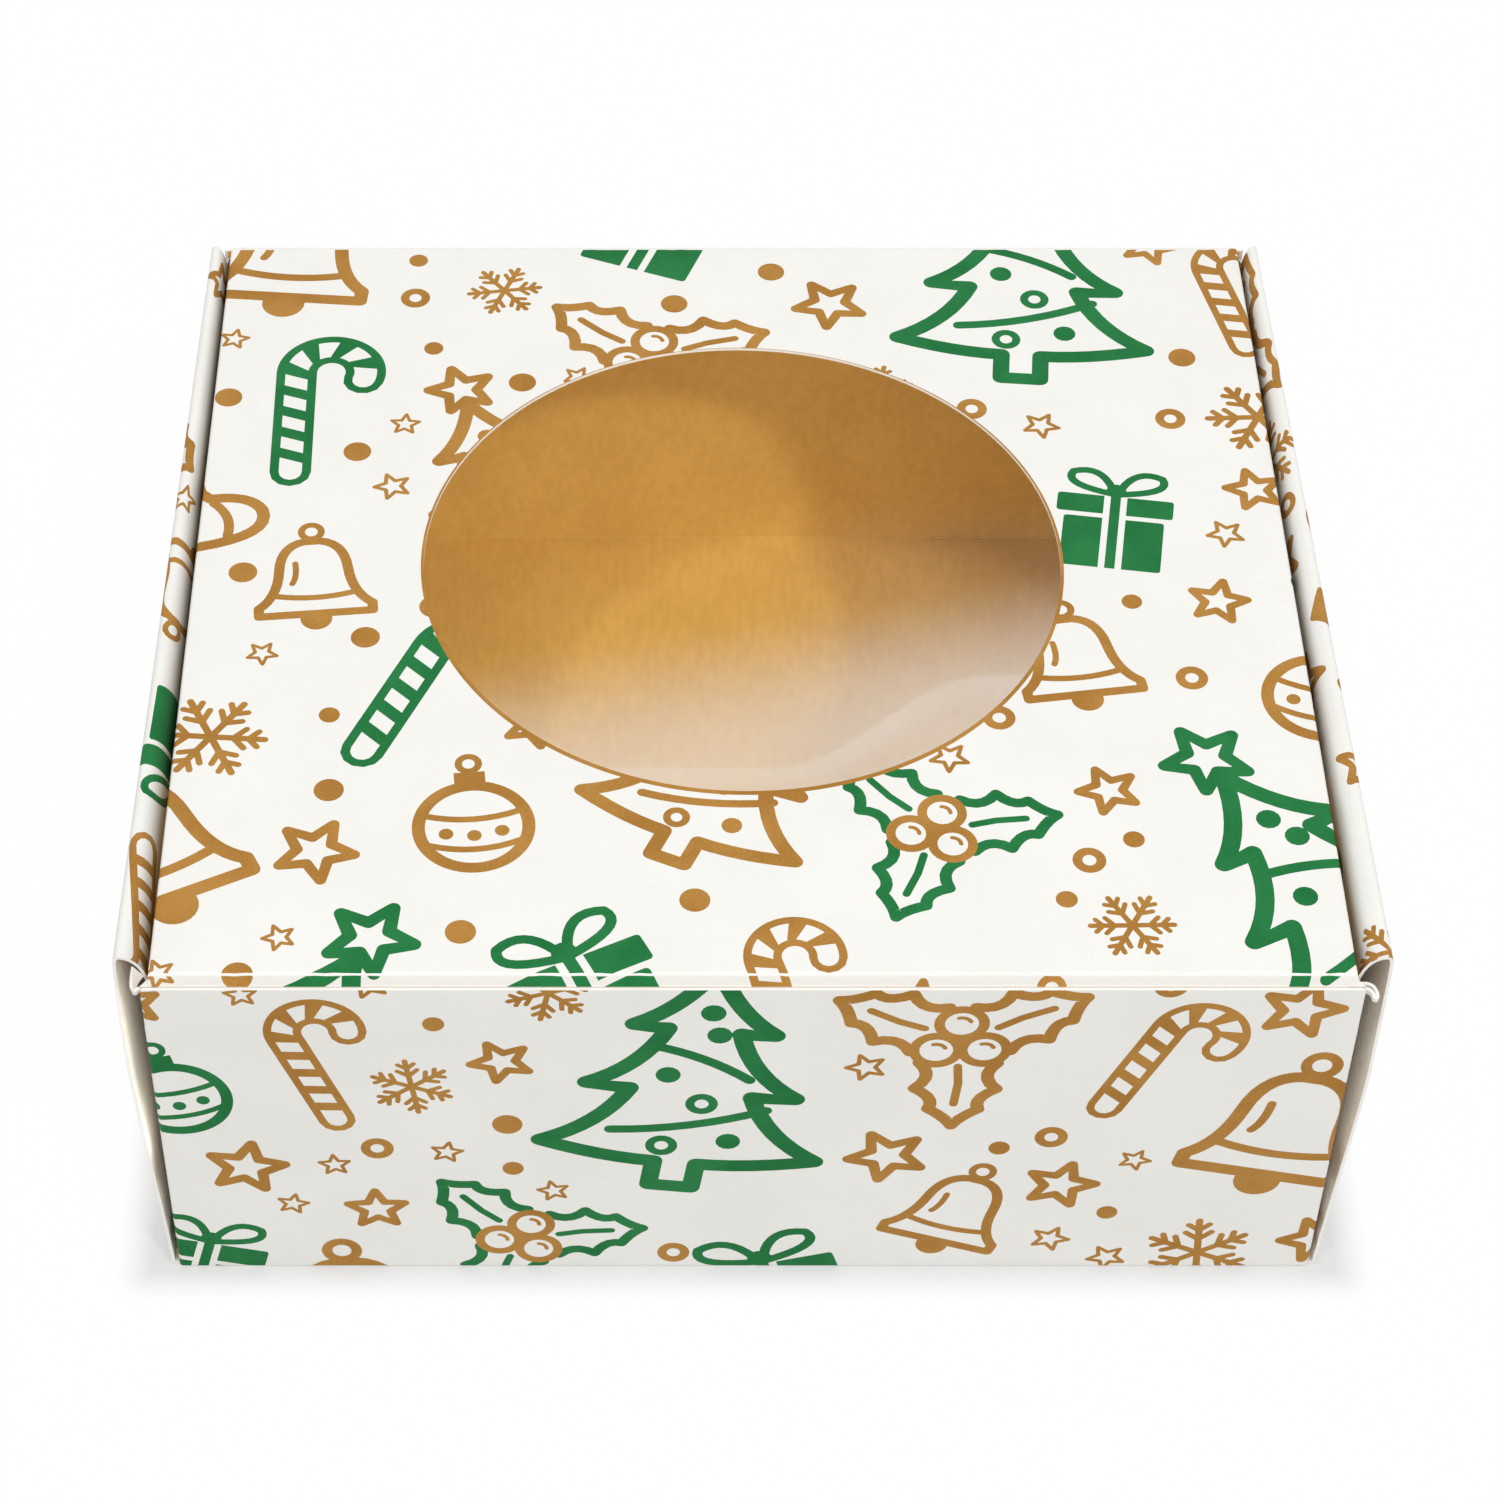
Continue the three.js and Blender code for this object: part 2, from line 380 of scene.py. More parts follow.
def fir_tree(ink):
    """A three-tier fir with drooping branches, a trunk, garlands and a star on top."""
    right = [(0.0, 15.0)] + bow((0.0, 15.0), (2.2, 9.0), (6.4, 6.2))
    right += bow((3.3, 6.0), (5.0, 0.2), (9.6, -2.6)) + bow((5.6, -2.9), (7.6, -8.6), (12.8, -11.6))
    right += bow((12.8, -11.6), (7.0, -13.4), (2.0, -13.4), 6)[1:] + [(2.0, -17.0)]
    drawing = outlined(right[1:] + mirrored(right)[:-1], 1.7, ink)
    drawing += strokes(1.1, ink, bow((-4.4, 3.4), (0.6, 2.6), (5.0, -0.4)))
    drawing += strokes(1.1, ink, bow((-6.6, -9.2), (0.6, -8.4), (7.2, -4.6)))
    drawing += discs(1.15, ink, (0.4, 8.6), (1.4, 5.6), (-2.4, -0.6), (4.4, -9.6))
    rings = ((1.2, -4.4), (-1.6, -11.0))
    drawing += discs(1.5, ink, *rings) + discs(0.65, PAPER, *rings)
    drawing += outlined(star_loop(0, 17.6, 4.0), 1.3, ink)
    cover = ((0, 17.6, 4.6), (0, 9, 5.5), (0, 0, 9), (-5, -9, 8.5), (5, -9, 8.5), (0, -15, 5))
    return drawing, cover


def holly_leaf(length, turn, ink):
    """A prickly leaf that grows from the origin, drawn as an outline with a rib."""
    half = length * 0.3
    tips = [(0.0, 0.0), (0.26, 0.95), (0.56, 1.0), (0.80, 0.62), (1.0, 0.0)]
    upper = []
    for (x0, y0), (x1, y1) in zip(tips, tips[1:]):
        middle = ((x0 + x1) / 2 * length, (y0 + y1) / 2 * half * 0.52)
        upper += bow((x0 * length, y0 * half), middle, (x1 * length, y1 * half), 5)[:-1]
    lower = [(x, -y) for x, y in reversed(upper[1:])]
    leaf = upper + [(length, 0.0)] + lower
    rib = line([(length * 0.30, 0), (length * 0.5, 0.25), (length * 0.74, 0)], 1.0)
    return [(turned(loop, turn), colour) for loop, colour in outlined(leaf, 1.5, ink) + [(rib, ink)]]


def turned(loop, angle, x=0.0, y=0.0, scale=1.0):
    """An outline turned, scaled and moved to its place."""
    c, s = math.cos(math.radians(angle)) * scale, math.sin(math.radians(angle)) * scale
    return [(x + c * px - s * py, y + s * px + c * py) for px, py in loop]


def holly(ink):
    """Three leaves behind a bunch of three berries."""
    drawing = []
    for heading in (28, 152, 268):
        drawing += holly_leaf(15.5, heading, ink)
    for x, y in ((0.0, 2.9), (-2.7, -1.7), (2.7, -1.7)):
        drawing += discs(3.1, GOLD, (x, y)) + discs(1.9, PAPER, (x, y))
        drawing += strokes(0.55, GOLD, arc(x, y, 1.05, 20, 110, 5))
    cover = ((0, 0, 6.5), (9, 5, 5.5), (-9, 5, 5.5), (0, -10, 5.5))
    return drawing, cover


def candy_cane(ink):
    """A hooked cane with slanting stripes."""
    bend, foot, top = 4.6, -13.0, 6.5
    steps = 40
    path = [(0.0, foot + (top - foot) * k / steps) for k in range(steps)]
    path += arc(bend, top, bend, 180, -20, 34)
    path = np.array([(x - bend, y) for x, y in path])
    drawing = [(line(path, 5.4), ink), (line(path, 3.0), PAPER)]
    run = Course(path).run
    _, side = headings(path)

    def at(place, across):
        x, y, sx, sy = (np.interp(place, run, column) for column in (*path.T, *side.T))
        return (float(x + sx * across), float(y + sy * across))

    half, slant, thick, pitch = 1.75, 1.3, 1.9, 4.1
    for k in range(int((run[-1] - 2.0) / pitch)):
        start = 1.6 + k * pitch
        drawing.append(([at(start, -half), at(start + thick, -half),
                         at(start + slant + thick, half), at(start + slant, half)], ink))
    cover = [(-bend, y, 4.2) for y in (-12, -6, 0, 6)] + [(0, 9, 4.6), (bend, 6, 4.4)]
    return drawing, cover


def gift(ink):
    """A wrapped box with a lid, a bare ribbon and a bow of two loops."""
    drawing = [(grown(block(-6.9, -7.5, 6.9, 2.1), 0.5), ink), (grown(block(-8.1, 4.0, 8.1, 6.9), 0.5), ink)]
    drawing += [(block(-1.7, -8.2, 1.7, 7.6), PAPER), (block(-0.75, -8, 0.75, 7.4), ink)]
    for side in (-1, 1):
        loop = bow((0.2, 7.9), (2.2, 14.2), (6.6, 12.2), 9)
        loop += bow((6.6, 12.2), (8.4, 9.2), (0.2, 7.9), 9)[1:-1]
        drawing += outlined([(side * x, y) for x, y in loop], 1.25, ink)
    drawing += discs(1.5, ink, (0, 8.6))
    cover = ((-4, -4, 6.2), (4, -4, 6.2), (-5, 4, 5.6), (5, 4, 5.6), (0, 10, 6.5))
    return drawing, cover


def bell(ink):
    """A bell with a rim, a clapper and a ring to hang from."""
    right = bow((0.0, 8.0), (4.6, 8.0), (5.0, 2.0)) + bow((5.0, 2.0), (5.4, -3.4), (8.2, -5.6))[1:]
    right += [(8.2, -7.2)]
    drawing = discs(2.3, ink, (0, -8.2)) + outlined(right[1:] + mirrored(right)[:-1], 1.5, ink)
    drawing += strokes(1.1, ink, bow((-5.6, -3.2), (0.0, -4.6), (5.6, -3.2)))
    drawing += strokes(0.9, ink, bow((-2.6, 3.4), (-2.4, 0.6), (-3.2, -0.8)))
    drawing += discs(2.0, ink, (0, 9.9)) + discs(0.95, PAPER, (0, 9.9))
    cover = ((0, 9, 3.6), (0, 3, 6.2), (-3.5, -4, 5.6), (3.5, -4, 5.6), (0, -9, 3.4))
    return drawing, cover


def bauble(ink):
    """A glass ball with a cap, two bands and a row of dots."""
    drawing = outlined(circle(0, -1.5, 6.3), 1.5, ink)
    drawing += [(block(-1.8, 4.7, 1.8, 7.0), ink)] + discs(1.6, ink, (0, 8.3)) + discs(0.75, PAPER, (0, 8.3))
    for side, low in ((5.6, 0.6), (5.3, -4.0)):
        drawing += strokes(0.9, ink, bow((-side, low), (0, low - 2.0), (side, low)))
    drawing += discs(0.85, ink, (-3.2, -2.4), (0.0, -2.9), (3.2, -2.4))
    cover = ((0, -1.5, 7.6), (0, 7, 3.4))
    return drawing, cover


def stocking(ink):
    """A knitted stocking with a cuff and a striped foot."""
    loop = [(-4.4, 5.2), (-4.4, -3.2)] + bow((-4.4, -3.2), (-4.8, -9.6), (1.0, -9.6))
    loop += bow((1.0, -9.6), (9.4, -10.2), (9.2, -6.0))[1:] + bow((9.2, -6.0), (8.6, -3.2), (4.2, -2.6))[1:]
    loop += [(3.4, -1.4), (3.4, 5.2)]
    drawing = outlined(loop, 1.4, ink) + [(grown(block(-5.6, 5.2, 4.6, 9.4), 0.5), ink)]
    bands = [[(-3.8, 1.6), (-0.5, 1.1), (2.8, 1.6)], [(-3.8, -1.6), (-0.6, -2.1), (2.8, -1.7)]]
    bands.append(bow((4.4, -3.4), (6.0, -6.0), (4.6, -8.8)))
    bands.append(bow((-3.9, -5.2), (-0.8, -5.0), (-1.4, -8.6)))
    drawing += strokes(1.1, ink, *bands)
    cover = ((-0.5, 7, 6), (-0.5, 0, 5.4), (-0.5, -5, 5.8), (5, -6.4, 5))
    return drawing, cover


def snowflake(ink, radius, width):
    """Six arms with two pairs of side twigs each."""
    drawing = []
    for arm in range(6):
        heading = 60 * arm + 90
        drawing.append((turned(line([(0.1, 0), (radius * 0.5, 0), (radius, 0)], width), heading), ink))
        for place, reach in ((0.42, 0.30), (0.70, 0.24)):
            for side in (-1, 1):
                tip = (radius * (place + reach * 0.72), side * radius * reach * 0.8)
                root = (radius * place, 0.0)
                middle = ((root[0] + tip[0]) / 2, (root[1] + tip[1]) / 2)
                drawing.append((turned(line([root, middle, tip], width * 0.9), heading), ink))
    return drawing, ((0, 0, radius + 0.6),)


def star(ink, radius, width):
    """A small outlined star."""
    return outlined(star_loop(0, 0, radius), width, ink), ((0, 0, radius + 0.6),)


def dot(ink, radius):
    """A spot of ink."""
    return discs(radius, ink, (0, 0)), ((0, 0, radius),)


def ring(ink, radius):
    """A spot of ink with a bare middle."""
    return discs(radius, ink, (0, 0)) + discs(radius * 0.42, PAPER, (0, 0)), ((0, 0, radius),)


# Rounds of drawings: how many are tried, the paper kept clear round each, how far apart like ones are,
# and the kinds in turn, each with its ink, its own sizes and its scale
print_rounds = (
    (34, 3.0, 60.0, (
        (fir_tree, (GREEN,), 1.5), (holly, (GOLD,), 1.2), (fir_tree, (GOLD,), 1.25),
        (bell, (GOLD,), 1.45), (stocking, (GOLD,), 1.35), (holly, (GREEN,), 1.1))),
    (90, 2.4, 44.0, (
        (candy_cane, (GREEN,), 1.15), (gift, (GREEN,), 1.2), (candy_cane, (GOLD,), 0.95),
        (bauble, (GOLD,), 1.2), (gift, (GREEN,), 1.0), (bell, (GOLD,), 1.0), (bauble, (GREEN,), 1.1))),
    (150, 1.8, 18.0, (
        (snowflake, (GOLD, 7.6, 1.05), 1.0), (star, (GOLD, 4.9, 1.5), 1.0), (star, (GOLD, 4.2, 1.3), 1.0),
        (snowflake, (GOLD, 5.6, 0.8), 1.0), (star, (GOLD, 5.4, 1.6), 1.0))),
    (230, 1.5, 8.0, (
        (star, (GOLD, 2.7, 0.65), 1.0), (dot, (GOLD, 2.1), 1.0), (ring, (GOLD, 2.3), 1.0),
        (star, (GOLD, 2.2, 0.55), 1.0), (dot, (GOLD, 1.5), 1.0))),
)
print_side = 218.0
print_low, print_high = -108.0, front_blank + 64.0

# Areas of the blank that the panels lie in: left, low, right and high
print_areas = (
    (-84.0, print_low, 84.0, print_high),
    (-print_side, bottom_middle - 78.0, print_side, bottom_middle + 78.0),
    (-100.0, -42.0, 100.0, 74.0),
)
print_tries = 90
largest_turn = 32.0


def wanted(x, y):
    """Whether a place on the blank lies on a panel."""
    return any(left <= x <= right and low <= y <= high for left, low, right, high in print_areas)


def lay_out_print():
    """Throws the drawings on the blank, the large ones first, and keeps those that touch no other."""
    chance = random.Random(print_seed)
    taken = np.zeros((0, 3))
    shapes = []
    places = {}
    for wished, gap, apart_alike, kinds in print_rounds:
        for turn in range(wished):
            drawing_of, details, scale = kinds[turn % len(kinds)]
            drawing, cover = drawing_of(*details)
            alike = places.setdefault(drawing_of, [])
            for _ in range(print_tries):
                x, y = chance.uniform(-print_side, print_side), chance.uniform(print_low, print_high)
                angle = chance.uniform(-largest_turn, largest_turn)
                if not wanted(x, y) or any(math.dist((x, y), place) < apart_alike for place in alike):
                    continue
                middles = turned([spot[:2] for spot in cover], angle, x, y, scale)
                spots = np.array([(*middle, spot[2] * scale) for middle, spot in zip(middles, cover)])
                apart = np.linalg.norm(spots[:, None, :2] - taken[None, :, :2], axis=2)
                if np.all(apart > spots[:, None, 2] + taken[None, :, 2] + gap):
                    taken = np.vstack([taken, spots])
                    alike.append((x, y))
                    shapes += [(turned(loop, angle, x, y, scale), ink) for loop, ink in drawing]
                    break
    return shapes


def crack(start, end, half):
    """A ragged white line along a fold, where the ink has broken off."""
    chance = random.Random(print_seed)
    length = math.dist(start, end)
    along = ((end[0] - start[0]) / length, (end[1] - start[1]) / length)
    sides = ([], [])
    for k in range(int(length / crack_step) + 1):
        for side, sign in zip(sides, (-1, 1)):
            away = sign * half * chance.uniform(crack_narrow, 1.0)
            run = min(k * crack_step, length)
            x = start[0] + along[0] * run - along[1] * away
            y = start[1] + along[1] * run + along[0] * away
            side.append((x, y))
    return (sides[0] + sides[1][::-1], PAPER)


print_shapes = lay_out_print()
for crack_place in (strip_high[1], lid_end - hinge_crack):
    print_shapes.append(crack((-lid_high[0], crack_place), (lid_high[0], crack_place), crack_width / 2))
window_ring = [
    (circle(0, window_centre - keyline_shift, window_diameter / 2 + keyline_width, window_steps), GOLD),
]


# Boards

def within(points, loop):
    """Which points a closed outline goes round anticlockwise."""
    x, y = points[:, 0, None], points[:, 1, None]
    first = np.array(loop)
    second = np.roll(first, -1, axis=0)
    rising = (first[:, 1] <= y) & (second[:, 1] > y)
    falling = (first[:, 1] > y) & (second[:, 1] <= y)
    way = second - first
    left = way[:, 0] * (y - first[:, 1]) - (x - first[:, 0]) * way[:, 1]
    return np.sum(rising & (left > 0), axis=1) > np.sum(falling & (left < 0), axis=1)


def anticlockwise(loop):
    """The same outline, gone round anticlockwise."""
    return loop if area(loop) > 0 else loop[::-1]


def triangulate(outline, holes=(), creases=(), shapes=(), step=grid_step):
    """Cuts a flat panel into triangles along its outline, its creases and the edges of its print."""
    low, high = np.min(outline, axis=0), np.max(outline, axis=0)
    print_here = [(anticlockwise(loop), ink) for loop, ink in shapes
                  if np.all(np.max(loop, axis=0) > low) and np.all(np.min(loop, axis=0) < high)]
    rims = [anticlockwise(loop) for loop in (outline, *holes)]
    points, edges = [], []
    for loop in rims + [loop for loop, _ in print_here]:
        start, count = len(points), len(loop)
        edges += [(start + k, start + (k + 1) % count) for k in range(count)]
        points += [Vector(point) for point in loop]
    for first, second in creases:
        edges.append((len(points), len(points) + 1))
        points += [Vector(first), Vector(second)]
    across, along = (np.arange(low[k] + step / 2, high[k], step) for k in (0, 1))
    points += [Vector((x, y)) for x in across for y in along]
    verts, _, triangles, _, _, _ = delaunay_2d_cdt(points, edges, [], 0, same_cut_point)
    flat, triangles = np.array([tuple(v) for v in verts]), np.array(triangles)
    middles = flat[triangles].mean(axis=1)
    kept = within(middles, rims[0])
    for hole in rims[1:]:
        kept &= ~within(middles, hole)
    triangles, middles = triangles[kept], middles[kept]
    colours = np.full(len(triangles), PAPER)
    for loop, ink in print_here:
        inside = (middles > np.min(loop, axis=0)) & (middles < np.max(loop, axis=0))
        near = np.flatnonzero(np.all(inside, axis=1))
        colours[near[within(middles[near], loop)]] = ink
    return flat, triangles, colours


def placed(name, data):
    """A new object in the scene."""
    made = bpy.data.objects.new(name, data)
    bpy.context.scene.collection.objects.link(made)
    return made


def make_piece(name, body, points, faces, finishes, indices, nodes, fold_shades=None):
    """A finished mesh that rides on one body, or is only placed in the box when it lies between two; fold
    shades give how deep in the fold beside the lid each point lies, for its painted shade.
    """
    mesh = bpy.data.meshes.new(name)
    mesh.from_pydata((np.array(points) * MM).tolist(), [], faces)
    # Painted shade: the fold shade share of each point, which darkens the print into the fold beside the lid
    if fold_shades is not None:
        mesh.attributes.new("fold_shade_share", "FLOAT", "POINT").data.foreach_set("value", np.tile(fold_shades, 2))
    for finish in finishes:
        mesh.materials.append(finish)
    mesh.polygons.foreach_set("material_index", np.array(indices, np.int32))
    mesh.polygons.foreach_set("use_smooth", np.ones(len(mesh.polygons), bool))
    mesh.set_sharp_from_angle(angle=hard_edge_angle)
    piece = placed(name, mesh)
    if isinstance(body, str):
        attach(piece, body)
    else:
        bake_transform(piece)
    if nodes:
        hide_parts(*nodes)


def make_board(name, body, cut, place, finishes, nodes=(), thickness=board, depth=None):
    """Folds a cut panel into place and gives it its thickness, with the print on the outside."""
    flat, triangles, colours = cut
    used, triangles = np.unique(triangles, return_inverse=True)
    triangles = triangles.reshape(-1, 3)
    flat = flat[used]
    nudge = 0.01
    outer = place(flat)
    along = place(flat + (nudge, 0)) - place(flat - (nudge, 0))
    up = place(flat + (0, nudge)) - place(flat - (0, nudge))
    normal = np.cross(along, up)
    normal /= np.linalg.norm(normal, axis=1)[:, None]
    inner = outer - thickness * normal
    count = len(flat)
    starts = triangles.reshape(-1)
    ends = np.roll(triangles, -1, axis=1).reshape(-1)
    rim = ~np.isin(starts * count + ends, ends * count + starts)
    first, second = starts[rim], ends[rim]
    sides = np.stack([second, first, first + count, second + count], axis=1)
    faces = triangles.tolist() + (triangles[:, ::-1] + count).tolist() + sides.tolist()
    hidden = np.abs(inner[triangles].mean(axis=1)[:, 0]) > inner_low[0]
    backs = np.where(hidden & (len(finishes) > HOLLOW), HOLLOW, BACK)
    indices = np.concatenate([colours, backs, np.full(len(sides), EDGE)])
    fold_shades = depth(flat) if depth else None
    make_piece(name, body, np.vstack([outer, inner]), faces, finishes, indices, nodes, fold_shades)


def in_box(x, y, z):
    """Places in the box from their three coordinates."""
    return np.stack([x, y, z], axis=1)


def wrap(across, half, radius):
    """Bends a sheet back past its side folds: the place across the box and the depth behind the face."""
    flat_half = half - radius
    over = np.maximum(np.abs(across) - flat_half, 0.0)
    angle = np.minimum(over / radius, math.pi / 2)
    reach = np.minimum(np.abs(across), flat_half) + radius * np.sin(angle)
    depth = radius * (1 - np.cos(angle)) + np.maximum(over - radius * math.pi / 2, 0.0)
    return np.sign(across) * reach, depth


def wrap_lines(half, radius, low, high):
    """Crease lines along both side folds of a wrapped sheet."""
    places = half - radius + radius * np.linspace(0, math.pi / 2, arc_steps + 1)
    return [((sign * x, low), (sign * x, high)) for x in places for sign in (-1, 1)]


def bottom_board(finishes):
    """The bottom panel, with slots for the lock tabs of the inner walls."""
    half, depth = bottom_high[0], bottom_high[1]
    middle = (inner_low[0] + inner_high[0]) / 2
    slot_half, slot_reach = board / 2 + slot_play, tab_length / 2 + slot_play
    holes = []
    for _, sign in SIDES:
        for place in tab_places:
            x, y = sign * middle, bottom_middle - place
            holes.append(block(x - slot_half, y - slot_reach, x + slot_half, y + slot_reach))
    low, high = bottom_middle - depth, bottom_middle + depth
    outline = block(-half, low, half, high)

    def place(flat):
        return in_box(flat[:, 0], bottom_middle - flat[:, 1], np.zeros(len(flat)))

    ends = (low - crease_overrun, high + crease_overrun)
    creases = [[(sign * inner_low[0], end) for end in ends] for _, sign in SIDES]
    cut = triangulate(outline, holes, creases, print_shapes)
    make_board("bottom_board", TRAY, cut, place, finishes, ["bottom_panel"])


def end_wall_outline(level, top):
    """The flat outline of an end wall with its dust flaps; level gives a height's place on the blank."""
    half = front_high[0]
    tip = half - fold_radius + quarter_turn + (dust_high[1] - front_low[1] - fold_radius)
    low, high = dust_low[2], dust_high[2]
    right = [(half, level(0)), (half, level(low)), (tip, level(low + dust_taper)),
             (tip, level(high - dust_taper)), (half, level(high)), (half, level(top))]
    radii = [0, dust_root, dust_corner, dust_corner, dust_root, wall_corner]
    return rounded(right + mirrored(right), radii + radii[::-1])


def end_wall_board(name, nodes, course, start, way, level, top, finishes):
    """An end wall with a rounded bottom fold and dust flaps folded back into the hollow sides."""
    outline = end_wall_outline(level, top)
    low = np.min(outline, axis=0) - crease_overrun
    high = np.max(outline, axis=0) + crease_overrun
    creases = wrap_lines(front_high[0], fold_radius, low[1], high[1])
    creases += [((low[0], start + run), (high[0], start + run)) for run in course.run[1:-1]]

    def place(flat):
        x, depth = wrap(flat[:, 0], front_high[0], fold_radius)
        y, z = course.at(flat[:, 1] - start)
        return in_box(x, y + way * depth, z)

    cut = triangulate(outline, creases=creases, shapes=print_shapes)
    make_board(name, TRAY, cut, place, finishes, nodes)


def end_walls(finishes):
    """The front and back walls, which go up from the bottom's folds."""
    foot = fold_radius
    front_fold = arc(bottom_low[1], foot, foot, -90, -180, arc_steps)
    back_fold = arc(bottom_high[1], foot, foot, 0, -90, arc_steps)
    front_course = Course(front_fold + [(front_low[1], front_high[2])])
    back_course = Course([(back_high[1], back_high[2])] + back_fold)

    def front_level(z):
        return front_blank + (quarter_turn + z - foot if z > 0 else 0.0)

    def back_level(z):
        return back_blank + back_high[2] - foot + (foot - z if z > 0 else quarter_turn)

    end_wall_board("front_wall_board", ["front_wall", "front_left_dust_flap", "front_right_dust_flap"],
                   front_course, front_blank, 1, front_level, front_high[2], finishes)
    end_wall_board("back_wall_board", ["back_wall", "back_left_dust_flap", "back_right_dust_flap"],
                   back_course, back_blank, -1, back_level, back_high[2], finishes)


def side_section(top, wall_bow, crest, crest_level):
    """The section of a rolled side: foot fold, bowed outer wall, rounded roof and inner wall."""
    made = arc(bottom_high[0], fold_radius, fold_radius, -90, 0, arc_steps)
    for k in range(1, wall_steps + 1):
        share = k / wall_steps
        z = fold_radius + (outer_high[2] - fold_radius) * share
        bulge = wall_bow * math.sin(math.pi * share ** bow_rise)
        made.append((wall_foot + (top - wall_foot) * share + bulge, z))
    made += bow((top, outer_high[2]), (top, crest_level), (crest, crest_level), roof_steps)[1:]
    inner = inner_low[0]
    shoulder = (inner + roof_bulge, crest_level - roof_crown)
    made += bow((crest, crest_level), shoulder, (inner, roof_end), roof_steps)[1:]
    return made + [(inner, roof_end - roof_straight), (inner, inner_low[2])]


def eased(share):
    """A share from 0 to 1 with a soft start and a soft end."""
    share = np.clip(share, 0, 1)
    return share * share * (3 - 2 * share)


def side_boards(finishes):
    """Each side: an outer wall that rolls over a roof and goes down inside to its lock tabs."""
    front_course = Course(side_section(wall_top_front, wall_bow_front, crest_front, roll_high[2]))
    back_crest = roll_high[2] - crest_sink_back
    back_points = np.array(side_section(wall_top_back, wall_bow_back, crest_back, back_crest))
    run = front_course.run
    wall_end, roof_crest, roof_finish = (run[arc_steps + wall_steps + k * roof_steps] for k in range(3))
    foot = run[-1] - (dust_low[2] - inner_low[2])
    wall_front, roll_front = outer_low[1], roll_low[1]
    inner_back = back_low[1] - inner_wall_play
    roof_low = roof_finish - roof_back_low
    tabs = []
    for place in tab_places[::-1]:
        start, end = place + tab_length / 2, place - tab_length / 2
        tabs += [(foot, start), (run[-1], start), (run[-1], end), (foot, end)]
    shape = [(0.0, -wall_front), (wall_end, roof_back), (roof_low, roof_back - roof_back_cut),
             (roof_low + roof_back_step, inner_back), (foot, inner_back), *tabs,
             (foot, inner_low[1]), (roof_finish + roof_front_step, inner_low[1]), (roof_finish, roll_front),
             (wall_end, roll_front), (0.0, wall_front)]
    fade = roof_finish + fold_shade_fade * np.arange(1, fade_steps + 1) / fade_steps
    bends = roll_blank + np.concatenate([run[1:arc_steps + 1], run[arc_steps + wall_steps:-1], fade])
    for side, sign in SIDES:
        outline = [(sign * (roll_blank + length), bottom_middle - y) for length, y in shape]
        reach = crease_overrun - wall_front
        creases = [((sign * x, bottom_middle - reach), (sign * x, bottom_middle + reach)) for x in bends]

        def place(flat):
            length = np.abs(flat[:, 0]) - roll_blank
            y = bottom_middle - flat[:, 1]
            share = np.clip((y - wall_front) / (-2 * wall_front), 0, 1)
            front = front_course.at(length)
            back = [np.interp(length, run, column) for column in back_points.T]
            x, z = ((1 - share) * a + share * b for a, b in zip(front, back))
            return in_box(sign * x, y, z)

        # Painted shade: how dark each point is painted, from 0 on the crest to 1 deep in the crevice beside
        # the lid, fading out below the roof
        def depth(flat):
            length = np.abs(flat[:, 0]) - roll_blank
            share = (length - roof_crest) / (roof_finish - roof_crest)
            fold_shade_rise = eased((share - fold_shade_start[side]) / (fold_shade_end - fold_shade_start[side]))
            return fold_shade_rise * (1 - eased((length - roof_finish) / fold_shade_fade))

        cut = triangulate(outline, creases=creases, shapes=print_shapes)
        make_board(f"{side}_side_board", TRAY, cut, place, finishes,
                   [f"{side}_outer_wall", f"{side}_roll_top", f"{side}_inner_wall"], depth=depth)


def lid_board(finishes):
    """The lid with its window and the sloping strip in front; its side edges turn down over the wings."""
    foot = np.array([strip_low[1], front_high[2]])
    crease = np.array([strip_high[1], lid_high[2]])
    strip_length = float(np.linalg.norm(crease - foot))
    slope = (crease - foot) / strip_length
    ease_end = (crease[0] + strip_ease, crease[1])
    bend = bow(tuple(crease - slope * strip_ease), tuple(crease), ease_end, strip_steps)
    course = Course([tuple(foot)] + bend + [(lid_end, lid_high[2])])
    start = lid_end - course.run[-1]
    half = lid_high[0]
    right = [(half + strip_flare, start), (half, start + strip_length), (half, wing_low[1] - wing_notch),
             (lid_turned_edge, wing_low[1]), (lid_turned_edge, wing_high[1]),
             (half, wing_high[1] + wing_notch), (half, lid_end)]
    outline = right + mirrored(right)
    reach = half + crease_overrun
    creases = wrap_lines(half, lid_edge_radius, start - crease_overrun, lid_end + crease_overrun)
    creases += [((-reach, start + run), (reach, start + run)) for run in course.run[1:-1]]

    def place(flat):
        x, depth = wrap(flat[:, 0], half, lid_edge_radius)
        y, z = course.at(flat[:, 1] - start)
        on_strip = np.clip(1 - (flat[:, 1] - start) / strip_length, 0, 1)
        x, depth = x + on_strip * (flat[:, 0] - x), (1 - on_strip) * depth
        ease_x = 1 - np.minimum(np.abs(x) / half, 1) ** 2
        ease_y = 1 - np.minimum(np.abs(y) / -crease[0], 1) ** 2
        return in_box(x, y, z - depth - lid_sag * ease_x * ease_y)

    window = circle(0, window_centre, window_diameter / 2, window_steps)
    cut = triangulate(outline, [window], creases, print_shapes + window_ring)
    make_board("lid_board", LID, cut, place, finishes, ["lid_panel", "lid_front_strip"])


def on_flap(x, y, z):
    """A place on the leaning tuck flap, from its crease, in the box."""
    pivot = np.array(joints["tuck_flap_fold"]["pos_m"]) / MM
    c, s = math.cos(flap_lean), math.sin(flap_lean)
    return in_box(x + pivot[0], pivot[1] + y * c - z * s, pivot[2] + y * s + z * c)


